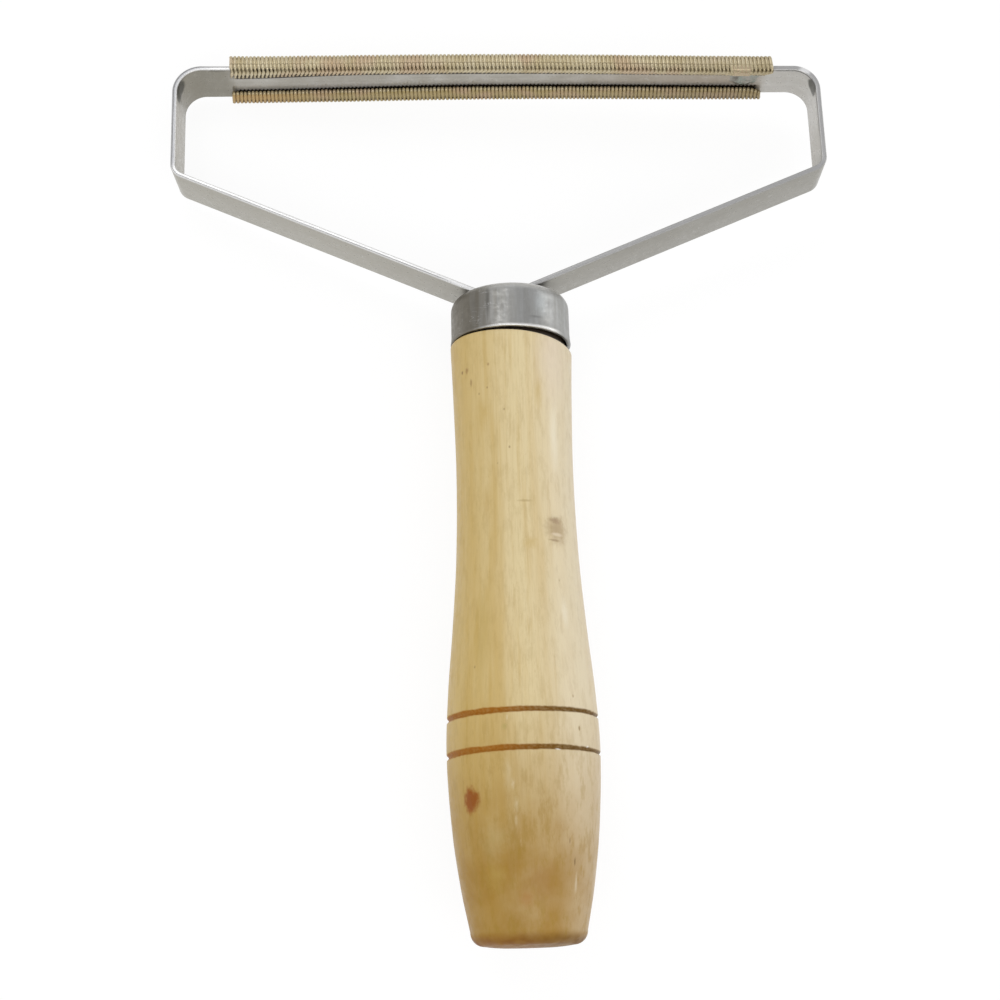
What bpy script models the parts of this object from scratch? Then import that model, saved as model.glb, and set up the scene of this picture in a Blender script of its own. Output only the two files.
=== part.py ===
"""Pet hair and lint scraper: a wound brass wire head on a bent steel strap, in a turned wooden handle.

The tool is modelled along its own axes first: X across the head, Y from the butt to the head, and
Z across the strip. It is then laid down as it rests on a table: on the handle's belly and upper end,
and on the left end of the wire head, because a round handle rolls until the head touches. +Y still
points to the head, and the origin is under the middle of the whole tool.
"""

import math

import bmesh
import bpy
from mathutils import Matrix, Vector

MM = 0.001
GAP = 0.3
EMPTY_SIZE = 20.0
QUARTER_TURN = math.pi / 2

# Handle: stations are (distance from the butt, radius) along the turned body
HANDLE_SIDES = 48
BODY_STATIONS = [(3.4, 12.55), (12.0, 14.25), (24.0, 15.85), (40.5, 16.8), (54.0, 16.25), (68.0, 15.0),
                 (84.0, 13.85), (104.0, 13.35), (122.0, 13.7), (133.6, 14.1)]
RINGS_PER_SPAN = 3
BUTT_FLAT_RADIUS = 6.0
BUTT_DOME = 0.4
BUTT_EDGE_ROUND = 2.9
BUTT_EDGE_STEPS = 5
GROOVES_AT = (40.1, 48.1)
GROOVE_WIDTH = 1.2
GROOVE_DEPTH = 0.55
GROOVE_CLEARANCE = 0.4
SHOULDER_AT = 134.2
SHOULDER_EASE = 0.45
SHOULDER_SLOPE = -0.065
SHOULDER_WEAR = 0.7
SLOPE_STARTS = 124.0
TENON_RADIUS = 12.5
TENON_END = 143.4
TENON_CHAMFER = 0.8
SLOT_OVERRUN = 2.0
HANDLE_SHARP = math.radians(32.0)

# Ferrule: a drawn cap with a rounded shoulder and an open mouth
FERRULE_SIDES = 48
FERRULE_START = 135.0
FERRULE_END = 146.4
FERRULE_RADIUS = 13.75
FERRULE_FLARE = 0.2
FLARE_LENGTH = 1.2
FLARE_REST = 0.05
FERRULE_WALL = 0.85
FERRULE_SHOULDER = 2.9
FERRULE_SLOPE = -0.04
SHOULDER_STEPS = 6
FERRULE_SHARP = math.radians(35.0)

# Head frame: one steel strip bent round, with its two ends side by side in the handle
STRIP_WIDTH = 12.0
STRIP_THICKNESS = 1.2
STRIP_EASE = 0.15
STRIP_SHARP = math.radians(30.0)
TOP_BOW = 0.6
TANG_GAP = 0.3
TANG_LENGTH = 28.0
TOP_BEND = 5.9
LOWER_BEND = 3.2
TANG_BEND = 2.1
BEND_STEP = math.radians(12.0)
BAR_STATIONS = 16

# The bent frame isn't quite true: outer corners of its two sides as (x, y), and its top bar's twist
LEFT_TOP = (-77.75, 205.25)
LEFT_LOW = (-77.15, 177.25)
LEFT_ARM_MEETS = 143.95
RIGHT_TOP = (77.35, 204.75)
RIGHT_LOW = (78.0, 178.0)
RIGHT_ARM_MEETS = 144.2
BAR_TWIST = math.radians(3.1)
BAR_REACH = 71.7

# The photographed head sits off the handle's axis and leans a little
HEAD_OFFSET = -2.9
HEAD_LEAN = math.radians(1.2)
LEAN_PIVOT = 135.0

# Wire head: a flattened coil in two layers, folded over both edges of the strip
WIRE_DIAMETER = 0.5
WIRE_SIDES_RESOLUTION = 1
COIL_LENGTH = 130.0
COIL_SHIFT = 0.6
COIL_TURNS = 61
LEAST_COIL_GAP = 0.4
LAYER_GAP = 0.42
TOP_SLACK = 0.1
NEAR_LIP_END = 4.6
FAR_LIP_END = -1.9
NEIGHBOUR_STRETCHES = 40
NEARLY_PARALLEL = 1e-9

# Solder that holds the wire to the strip near one end of the coil
TACK_FROM_COIL_END = 6.6
TACK_LENGTH = 5.6
TACK_WIDTH = 4.4
TACK_HEIGHT = 0.5
TACK_SIDES = 20
TACK_RINGS = 4
TACK_SHARP = math.radians(50.0)

# Limits of the search for the resting place
MOST_TILT = math.radians(6.0)
MOST_ROLL = math.radians(10.0)
SOLVER_STEPS = 40

# Finishes as (colour, roughness, metallic)
FINISHES = {
    "varnished_wood": ((0.62, 0.46, 0.25), 0.42, 0.0),
    "ferrule_steel": ((0.36, 0.36, 0.35), 0.38, 1.0),
    "strip_steel": ((0.62, 0.61, 0.57), 0.24, 1.0),
    "brass_wire": ((0.58, 0.44, 0.22), 0.3, 1.0),
    "solder": ((0.42, 0.43, 0.4), 0.45, 1.0),
}


def clear_scene():
    """Remove whatever the start-up scene holds."""
    for obj in list(bpy.data.objects):
        bpy.data.objects.remove(obj, do_unlink=True)


def make_material(name):
    """The Principled material of one finish."""
    colour, roughness, metallic = FINISHES[name]
    material = bpy.data.materials.new(name)
    material.use_nodes = True
    shader = material.node_tree.nodes["Principled BSDF"]
    shader.inputs["Base Color"].default_value = (*colour, 1.0)
    shader.inputs["Roughness"].default_value = roughness
    shader.inputs["Metallic"].default_value = metallic
    return material


def add_empty(name, matrix, parent=None):
    """An empty that carries a group of pieces."""
    empty = bpy.data.objects.new(name, None)
    empty.empty_display_size = EMPTY_SIZE * MM
    bpy.context.collection.objects.link(empty)
    empty.parent = parent
    empty.matrix_local = matrix
    return empty


def add_object(name, data, material, parent):
    """Link a mesh or curve as a named piece under its empty."""
    obj = bpy.data.objects.new(name, data)
    bpy.context.collection.objects.link(obj)
    data.materials.append(material)
    obj.parent = parent
    return obj


def mesh_from_bmesh(name, bm, smooth_angle=None):
    """Turn a bmesh into a mesh with its faces out, smooth but for edges past the angle."""
    bmesh.ops.recalc_face_normals(bm, faces=bm.faces)
    mesh = bpy.data.meshes.new(name)
    bm.to_mesh(mesh)
    bm.free()
    if smooth_angle is not None:
        mesh.shade_smooth()
        mesh.set_sharp_from_angle(angle=smooth_angle)
    return mesh


def bridge_rings(bm, rings, closed=False):
    """Quads between each ring of vertices and the next."""
    pairs = list(zip(rings, rings[1:]))
    if closed:
        pairs.append((rings[-1], rings[0]))
    for first, second in pairs:
        for i in range(len(first)):
            j = (i + 1) % len(first)
            bm.faces.new((first[i], first[j], second[j], second[i]))


def turned_ring(bm, distance, radius, sides, slope=0.0, wear=0.0):
    """A ring round the Y axis that may slope from left to right, and be worn lower on its right side."""
    ring = []
    for i in range(sides):
        angle = 2 * math.pi * i / sides
        right = math.cos(angle)
        y = distance + slope * radius * right - wear * max(right, 0.0) ** 2
        ring.append(bm.verts.new(Vector((radius * right, y, radius * math.sin(angle))) * MM))
    return ring


def smooth_stations(stations, steps):
    """Points on a smooth curve through the stations, each with the mean slope of its neighbours."""
    slopes = []
    for i in range(len(stations)):
        before = stations[max(i - 1, 0)]
        after = stations[min(i + 1, len(stations) - 1)]
        slopes.append((after[1] - before[1]) / (after[0] - before[0]))
    points = []
    for i, ((x0, y0), (x1, y1)) in enumerate(zip(stations, stations[1:])):
        span = x1 - x0
        for k in range(steps):
            t = k / steps
            y = ((1 + 2 * t) * (1 - t) ** 2 * y0 + t * (1 - t) ** 2 * span * slopes[i]
                 + t * t * (3 - 2 * t) * y1 - t * t * (1 - t) * span * slopes[i + 1])
            points.append((x0 + span * t, y))
    points.append(stations[-1])
    return points


def radius_at(profile, distance):
    """Radius of the turned body at a distance from the butt."""
    for (x0, y0), (x1, y1) in zip(profile, profile[1:]):
        if x0 <= distance <= x1:
            return y0 + (y1 - y0) * (distance - x0) / (x1 - x0)
    raise ValueError("no body at this distance")


def body_profile():
    """The turned body's outline with its two scribed grooves cut into it."""
    smooth = smooth_stations(BODY_STATIONS, RINGS_PER_SPAN)
    half = GROOVE_WIDTH / 2
    reach = half + GROOVE_CLEARANCE
    plain = [p for p in smooth if all(abs(p[0] - at) > reach for at in GROOVES_AT)]
    grooves = []
    for at in GROOVES_AT:
        grooves.append((at - half, radius_at(smooth, at - half)))
        grooves.append((at, radius_at(smooth, at) - GROOVE_DEPTH))
        grooves.append((at + half, radius_at(smooth, at + half)))
    return sorted(plain + grooves)


def butt_profile():
    """The butt: a flat middle, a low dome and a rounded edge, up to the body's first station."""
    edge_end, body_radius = BODY_STATIONS[0]
    dome_radius = body_radius - BUTT_EDGE_ROUND
    points = [(0.0, BUTT_FLAT_RADIUS)]
    for k in range(BUTT_EDGE_STEPS):
        angle = QUARTER_TURN * k / BUTT_EDGE_STEPS
        distance = BUTT_DOME + (edge_end - BUTT_DOME) * (1 - math.cos(angle))
        points.append((distance, dome_radius + BUTT_EDGE_ROUND * math.sin(angle)))
    return points


def build_handle(material, tool, head):
    """Turned wooden handle with a tenon for the ferrule and a slot for the strip's two ends."""
    top_radius = BODY_STATIONS[-1][1]
    body = butt_profile() + body_profile() + [(SHOULDER_AT, top_radius - SHOULDER_EASE)]
    bm = bmesh.new()
    rings = []
    for distance, radius in body:
        share = max(0.0, (distance - SLOPE_STARTS) / (SHOULDER_AT - SLOPE_STARTS))
        slope, wear = share * SHOULDER_SLOPE, share ** 3 * SHOULDER_WEAR
        rings.append(turned_ring(bm, distance, radius, HANDLE_SIDES, slope, wear))
    rings.append(turned_ring(bm, SHOULDER_AT, TENON_RADIUS, HANDLE_SIDES, SHOULDER_SLOPE, SHOULDER_WEAR))
    tenon = [(TENON_END - TENON_CHAMFER, TENON_RADIUS), (TENON_END, TENON_RADIUS - TENON_CHAMFER)]
    rings += [turned_ring(bm, d, r, HANDLE_SIDES) for d, r in tenon]
    bridge_rings(bm, rings)
    bm.faces.new(rings[0])
    bm.faces.new(rings[-1])
    mesh = mesh_from_bmesh("handle", bm, HANDLE_SHARP)
    handle = add_object("handle", mesh, material, tool)

    cutter = build_slot_cutter(material, head)
    cut = handle.modifiers.new("tang_slot", "BOOLEAN")
    cut.operation = "DIFFERENCE"
    cut.object = cutter
    return handle


def build_slot_cutter(material, head):
    """The sawn slot that takes both ends of the strip, lined up with the head."""
    width = 2 * STRIP_THICKNESS + TANG_GAP + 2 * GAP
    depth = STRIP_WIDTH + 2 * GAP
    bottom = tang_end() - GAP
    top = TENON_END + SLOT_OVERRUN
    bm = bmesh.new()
    size = Matrix.Diagonal(Vector((width, top - bottom, depth, 1.0))) * MM
    size[3][3] = 1.0
    place = Matrix.Translation(Vector((0.0, (top + bottom) / 2, 0.0)) * MM)
    bmesh.ops.create_cube(bm, size=1.0, matrix=place @ size)
    cutter = add_object("tang_slot_cutter", mesh_from_bmesh("tang_slot_cutter", bm), material, head)
    cutter.hide_render = True
    cutter.display_type = "WIRE"
    return cutter


def ferrule_profile():
    """Closed section of the ferrule as (distance, radius, slope), outer side first."""
    outer_bend = FERRULE_END - FERRULE_SHOULDER
    bend_radius = FERRULE_RADIUS - FERRULE_SHOULDER
    inner_shoulder = FERRULE_SHOULDER - FERRULE_WALL
    points = [(FERRULE_START, FERRULE_RADIUS + FERRULE_FLARE, FERRULE_SLOPE),
              (FERRULE_START + FLARE_LENGTH, FERRULE_RADIUS + FLARE_REST, 0.0)]
    for k in range(SHOULDER_STEPS + 1):
        angle = QUARTER_TURN * k / SHOULDER_STEPS
        points.append((outer_bend + FERRULE_SHOULDER * math.sin(angle),
                       bend_radius + FERRULE_SHOULDER * math.cos(angle), 0.0))
    for k in range(SHOULDER_STEPS + 1):
        angle = QUARTER_TURN * (1 - k / SHOULDER_STEPS)
        points.append((outer_bend + inner_shoulder * math.sin(angle),
                       bend_radius + inner_shoulder * math.cos(angle), 0.0))
    points.append((FERRULE_START, FERRULE_RADIUS - FERRULE_WALL, FERRULE_SLOPE))
    return points


def build_ferrule(material, tool):
    """Drawn steel ferrule round the tenon."""
    bm = bmesh.new()
    rings = [turned_ring(bm, d, r, FERRULE_SIDES, slope) for d, r, slope in ferrule_profile()]
    bridge_rings(bm, rings, closed=True)
    return add_object("ferrule", mesh_from_bmesh("ferrule", bm, FERRULE_SHARP), material, tool)


def tang_end():
    """Height of the strip's cut ends, inside the handle."""
    return RIGHT_ARM_MEETS - TANG_LENGTH


def side_corners(low, top, arm_meets):
    """One side's centre line corners as (x, y, bend radius), from the cut end up to the top bar."""
    half = STRIP_THICKNESS / 2
    side = math.copysign(1.0, low[0])
    slope = (low[1] - arm_meets) / abs(low[0])
    arm_start = arm_meets + half * math.hypot(1.0, slope)
    tang = half + TANG_GAP / 2
    leg = abs(low[0]) - half
    return [(side * tang, tang_end(), 0.0), (side * tang, arm_start + slope * tang, TANG_BEND),
            (side * leg, arm_start + slope * leg, LOWER_BEND),
            (top[0] - side * half, top[1] - half, TOP_BEND)]


def strip_corners():
    """All corners of the strip's centre line, from one cut end to the other."""
    left = side_corners(LEFT_LOW, LEFT_TOP, LEFT_ARM_MEETS)
    right = side_corners(RIGHT_LOW, RIGHT_TOP, RIGHT_ARM_MEETS)
    return left + right[::-1]


def rounded_corner(before, corner, after):
    """Points round one corner, from the straight before it to the straight after it."""
    radius = corner[2]
    here = Vector(corner[:2])
    if radius == 0.0:
        return [here]
    back = (Vector(before[:2]) - here).normalized()
    onward = (Vector(after[:2]) - here).normalized()
    half_angle = back.angle(onward) / 2
    centre = here + (back + onward).normalized() * (radius / math.sin(half_angle))
    start = here + back * (radius / math.tan(half_angle)) - centre
    turn = math.pi - 2 * half_angle
    side = 1.0 if back.x * onward.y - back.y * onward.x < 0 else -1.0
    steps = max(2, math.ceil(turn / BEND_STEP))
    return [centre + Matrix.Rotation(side * turn * k / steps, 2) @ start for k in range(steps + 1)]


def bar_middle(x):
    """Height of the top bar's centre line at this place across the head, with its skew and bow."""
    share = (x - LEFT_TOP[0]) / (RIGHT_TOP[0] - LEFT_TOP[0])
    bow = TOP_BOW * math.cos(QUARTER_TURN * x / BAR_REACH) ** 2 if abs(x) < BAR_REACH else 0.0
    return LEFT_TOP[1] + (RIGHT_TOP[1] - LEFT_TOP[1]) * share - STRIP_THICKNESS / 2 + bow


def bar_twist(x):
    """How far the top bar is turned about its length at this place, nearer edge up on the left."""
    return -BAR_TWIST * x / BAR_REACH


def on_bar(x, height, depth):
    """A point of the head, from its place across it and its height and depth off the bar's centre."""
    sine, cosine = math.sin(bar_twist(x)), math.cos(bar_twist(x))
    return Vector((x, bar_middle(x) + height * cosine + depth * sine, depth * cosine - height * sine))


def strip_path():
    """The strip's centre line as (point, twist), with extra points along the top bar."""
    corners = strip_corners()
    last = len(corners) - 1
    bends = [rounded_corner(corners[max(i - 1, 0)], corners[i], corners[min(i + 1, last)])
             for i in range(last + 1)]
    middle = len(bends) // 2
    into_bar, out_of_bar = bends[middle - 1], bends[middle]
    start, end = into_bar[-1].x, out_of_bar[0].x
    path = [(point, 0.0) for bend in bends[:middle - 1] for point in bend]
    for k, point in enumerate(into_bar):
        path.append((point, bar_twist(start) * k / (len(into_bar) - 1)))
    for k in range(1, BAR_STATIONS):
        x = start + (end - start) * k / BAR_STATIONS
        path.append((Vector((x, bar_middle(x))), bar_twist(x)))
    for k, point in enumerate(out_of_bar):
        path.append((point, bar_twist(end) * (1 - k / (len(out_of_bar) - 1))))
    return path + [(point, 0.0) for bend in bends[middle + 1:] for point in bend]


def build_strap_frame(material, head):
    """The bent strip, swept along its centre line with eased edges."""
    thick = STRIP_THICKNESS / 2
    wide = STRIP_WIDTH / 2
    ease = STRIP_EASE
    section = [(thick, wide - ease), (thick - ease, wide), (ease - thick, wide), (-thick, wide - ease),
               (-thick, ease - wide), (ease - thick, -wide), (thick - ease, -wide), (thick, ease - wide)]
    path = strip_path()
    bm = bmesh.new()
    rings = []
    for i, (point, twist) in enumerate(path):
        before = path[max(i - 1, 0)][0]
        after = path[min(i + 1, len(path) - 1)][0]
        along_in = (point - before).normalized() if i else (after - point).normalized()
        along_out = (after - point).normalized() if i < len(path) - 1 else along_in
        along = (along_in + along_out).normalized()
        across = Vector((-along.y, along.x)) / along.dot(along_out)
        ring = []
        for n, z in section:
            out = n * math.cos(twist) + z * math.sin(twist)
            deep = z * math.cos(twist) - n * math.sin(twist)
            ring.append(bm.verts.new(Vector((point.x + across.x * out, point.y + across.y * out, deep)) * MM))
        rings.append(ring)
    bridge_rings(bm, rings)
    bm.faces.new(rings[0])
    bm.faces.new(rings[-1])
    return add_object("strap_frame", mesh_from_bmesh("strap_frame", bm, STRIP_SHARP), material, head)


def coil_layers():
    """Distance of the inner and the outer layer's wire from the strip's faces."""
    inner = GAP + WIRE_DIAMETER / 2
    return inner, inner + WIRE_DIAMETER + LAYER_GAP


def fold_points(offset):
    """One layer's way round the strip as (height, depth), from the near lip to the far lip."""
    height = STRIP_THICKNESS / 2 + offset
    depth = STRIP_WIDTH / 2 + offset
    return [(-height, NEAR_LIP_END), (-height, depth), (height + TOP_SLACK, depth),
            (height + TOP_SLACK, -depth), (-height, -depth), (-height, FAR_LIP_END)]


def coil_route():
    """The wire's centre line: turn after turn out over the outer layer and back under it."""
    inner, outer = coil_layers()
    loop = fold_points(outer) + fold_points(inner)[::-1]
    count = COIL_TURNS * len(loop) + len(loop) // 2
    first = COIL_SHIFT - COIL_LENGTH / 2 + WIRE_DIAMETER / 2
    route = []
    for i in range(count):
        x = first + (COIL_LENGTH - WIRE_DIAMETER) * i / (count - 1)
        route.append(on_bar(x, *loop[i % len(loop)]))
    strip_face = -(STRIP_THICKNESS / 2 + GAP)
    start = on_bar(first, strip_face, NEAR_LIP_END)
    end = on_bar(first + COIL_LENGTH - WIRE_DIAMETER, strip_face, FAR_LIP_END)
    return [start] + route + [end]


def segment_distance(a, b, c, d):
    """Least distance between the stretches a-b and c-d."""
    u, v, w = b - a, d - c, a - c
    uu, uv, vv, uw, vw = u.dot(u), u.dot(v), v.dot(v), u.dot(w), v.dot(w)
    spread = uu * vv - uv * uv
    s = min(max((uv * vw - vv * uw) / spread, 0.0), 1.0) if spread > NEARLY_PARALLEL else 0.0
    t = min(max((uv * s + vw) / vv, 0.0), 1.0)
    s = min(max((uv * t - uw) / uu, 0.0), 1.0)
    return (w + u * s - v * t).length


def least_gap(route, diameter):
    """Least clear space between stretches of the wire that aren't joined to each other."""
    least = math.inf
    for i in range(len(route) - 1):
        for j in range(i + 2, min(i + NEIGHBOUR_STRETCHES, len(route) - 1)):
            least = min(least, segment_distance(route[i], route[i + 1], route[j], route[j + 1]))
    return least - diameter


def build_wire_coil(material, head):
    """The wire head as one unbroken tube."""
    route = coil_route()
    gap = least_gap(route, WIRE_DIAMETER)
    print(f"wire coil: {COIL_TURNS} turns, least gap to itself {gap:.3f} mm")
    if gap <= LEAST_COIL_GAP:
        raise ValueError("the wire comes too near itself")
    curve = bpy.data.curves.new("wire_coil", "CURVE")
    curve.dimensions = "3D"
    curve.bevel_depth = WIRE_DIAMETER / 2 * MM
    curve.bevel_resolution = WIRE_SIDES_RESOLUTION
    curve.use_fill_caps = True
    spline = curve.splines.new("POLY")
    spline.points.add(len(route) - 1)
    for target, point in zip(spline.points, route):
        target.co = (*(point * MM), 1.0)
    return add_object("wire_coil", curve, material, head)


def build_solder_tack(material, head):
    """Low blob of solder on the strip's bare face, between the coil's two lips."""
    x_centre = COIL_SHIFT + COIL_LENGTH / 2 - TACK_FROM_COIL_END
    face = STRIP_THICKNESS / 2 + GAP
    z_centre = (NEAR_LIP_END + FAR_LIP_END) / 2
    bm = bmesh.new()
    rings = []
    for k in range(TACK_RINGS):
        angle = QUARTER_TURN * k / TACK_RINGS
        ring = []
        for i in range(TACK_SIDES):
            turn = 2 * math.pi * i / TACK_SIDES
            x = x_centre + TACK_LENGTH / 2 * math.cos(angle) * math.cos(turn)
            z = z_centre + TACK_WIDTH / 2 * math.cos(angle) * math.sin(turn)
            ring.append(bm.verts.new(on_bar(x, -face - TACK_HEIGHT * math.sin(angle), z) * MM))
        rings.append(ring)
    bridge_rings(bm, rings)
    bm.faces.new(rings[0])
    bm.faces.new(rings[-1])
    return add_object("solder_tack", mesh_from_bmesh("solder_tack", bm, TACK_SHARP), material, head)


def head_matrix():
    """Where the head sits in the tool: off the handle's axis and leaning about the ferrule."""
    pivot = Matrix.Translation(Vector((0.0, LEAN_PIVOT, 0.0)) * MM)
    return (Matrix.Translation(Vector((HEAD_OFFSET, 0.0, 0.0)) * MM)
            @ pivot @ Matrix.Rotation(-HEAD_LEAN, 4, "Z") @ pivot.inverted())


def head_corners():
    """Lowest outer points of the wire head and the strip, along the tool's own axes."""
    outer = coil_layers()[1] + WIRE_DIAMETER / 2
    corners = []
    for x in (COIL_SHIFT - COIL_LENGTH / 2, COIL_SHIFT + COIL_LENGTH / 2):
        corners.append(on_bar(x, STRIP_THICKNESS / 2 + outer + TOP_SLACK, -STRIP_WIDTH / 2 - outer))
    for x, y in (LEFT_TOP, LEFT_LOW, RIGHT_TOP, RIGHT_LOW):
        corners.append(Vector((x, y, -STRIP_WIDTH / 2)))
    placed = head_matrix()
    return [placed @ (corner * MM) / MM for corner in corners]


def support(profile, tilt):
    """How far a turned profile reaches below its axis's foot, with the head end tilted down."""
    return max(d * math.sin(tilt) + r * math.cos(tilt) for d, r in profile)


def solve(low, high, too_small):
    """The angle between low and high at which the test stops being true."""
    for _ in range(SOLVER_STEPS):
        middle = (low + high) / 2
        if too_small(middle):
            low = middle
        else:
            high = middle
    return low


def rest_turn():
    """Rotation that brings the belly, the handle's upper end and one end of the head to the table."""
    outline = body_profile() + [(d, r) for d, r, _ in ferrule_profile()]
    belly = [(d, r) for d, r in outline if d < FERRULE_START / 2]
    front = [(d, r) for d, r in outline if d >= FERRULE_START / 2]
    tilt = solve(0.0, MOST_TILT, lambda t: support(belly, t) > support(front, t))
    height = support(belly, tilt)
    corners = head_corners()

    def turned(roll):
        return Matrix.Rotation(-tilt, 4, "X") @ Matrix.Rotation(-roll, 4, "Y")

    def clear(roll):
        return height + min((turned(roll) @ corner).z for corner in corners) > 0.0

    return turned(solve(0.0, MOST_ROLL, clear))


def stand_on_origin(tool):
    """Move the laid tool so that the middle of its box's underside is at the origin."""
    bpy.context.view_layer.update()
    graph = bpy.context.evaluated_depsgraph_get()
    points = []
    for obj in bpy.context.view_layer.objects:
        if obj.type in ("MESH", "CURVE") and not obj.hide_render:
            evaluated = obj.evaluated_get(graph)
            points += [evaluated.matrix_world @ vertex.co for vertex in evaluated.to_mesh().vertices]
            evaluated.to_mesh_clear()
    low = Vector(min(p[axis] for p in points) for axis in range(3))
    high = Vector(max(p[axis] for p in points) for axis in range(3))
    foot = Vector(((low.x + high.x) / 2, (low.y + high.y) / 2, low.z))
    tool.matrix_world = Matrix.Translation(-foot) @ tool.matrix_world


def main():
    clear_scene()
    tool = add_empty("tool_at_rest", rest_turn())
    head = add_empty("head_axis", head_matrix(), tool)

    build_handle(make_material("varnished_wood"), tool, head)
    build_ferrule(make_material("ferrule_steel"), tool)
    build_strap_frame(make_material("strip_steel"), head)
    build_wire_coil(make_material("brass_wire"), head)
    build_solder_tack(make_material("solder"), head)
    stand_on_origin(tool)


main()
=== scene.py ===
"""Looks of a hair and lint scraper: a wound brass wire head on a bent steel strip, in a turned handle.

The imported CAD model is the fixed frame. Each piece is made again here with a finer mesh, in the place
of its CAD node and along the tool's own axes: X across the head, Y from the butt to the head, Z up.
Lengths are in millimetres until a mesh is made.
"""

import logging
import math
import random
from collections.abc import Callable, Sequence
from dataclasses import dataclass, field
from enum import Enum
from functools import reduce
from typing import ClassVar

import bmesh
import bpy
import numpy as np
from mathutils import Euler, Matrix, Vector, noise


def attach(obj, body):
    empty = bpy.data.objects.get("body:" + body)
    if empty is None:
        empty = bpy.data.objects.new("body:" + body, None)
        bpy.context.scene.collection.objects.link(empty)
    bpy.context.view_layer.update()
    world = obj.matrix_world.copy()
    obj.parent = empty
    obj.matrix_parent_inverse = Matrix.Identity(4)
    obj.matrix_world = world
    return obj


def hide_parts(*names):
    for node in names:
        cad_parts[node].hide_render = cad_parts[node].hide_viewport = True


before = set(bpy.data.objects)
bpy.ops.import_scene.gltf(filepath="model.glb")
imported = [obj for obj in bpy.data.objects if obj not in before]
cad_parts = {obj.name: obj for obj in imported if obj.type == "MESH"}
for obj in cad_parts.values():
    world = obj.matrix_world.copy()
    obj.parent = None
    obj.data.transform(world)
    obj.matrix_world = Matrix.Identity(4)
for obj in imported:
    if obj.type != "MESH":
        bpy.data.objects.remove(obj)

MM = 0.001
LOG = logging.getLogger("lint_scraper")

Pair = tuple[float, float]
Triple = tuple[float, float, float]
Colour = Triple
Socket = bpy.types.NodeSocket
Source = Socket | float | tuple[float, ...]
Inputs = dict[str | int, Source]
BMesh = bmesh.types.BMesh
Ring = list[bmesh.types.BMVert]


class Layer(Enum):
    """The two layers that every turn of the wire runs through."""

    OUTER = "outer"
    INNER = "inner"


class Stretch(Enum):
    """Which way the marks of a surface run, as a share of their width along each axis."""

    ALONG_TOOL = (1.0, 0.035, 1.0)
    ALONG_STRIP = (0.03, 1.0, 1.0)


@dataclass(frozen=True)
class RestPlace:
    """How the tool lies on the table, and how its head sits on the handle."""

    tilt: float = 1.712888
    roll: float = 3.539772
    foot: Triple = (1.589, -104.2414, 18.0603)
    head_offset: float = -2.9
    head_lean: float = 1.2
    lean_pivot: float = 135.0

    def tool(self) -> Matrix:
        """Place the tool on the table.

        Returns:
            Matrix from the tool's own axes to the row frame, in metres.
        """
        tilt = Matrix.Rotation(-math.radians(self.tilt), 4, "X")
        turn = tilt @ Matrix.Rotation(-math.radians(self.roll), 4, "Y")
        return Matrix.Translation(Vector(self.foot) * MM) @ turn

    def head(self) -> Matrix:
        """Place the head on the handle.

        Returns:
            Matrix from the head's own axes to the row frame, in metres.
        """
        pivot = Matrix.Translation(Vector((0.0, self.lean_pivot, 0.0)) * MM)
        lean = pivot @ Matrix.Rotation(-math.radians(self.head_lean), 4, "Z") @ pivot.inverted()
        return self.tool() @ Matrix.Translation(Vector((self.head_offset, 0.0, 0.0)) * MM) @ lean


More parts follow.
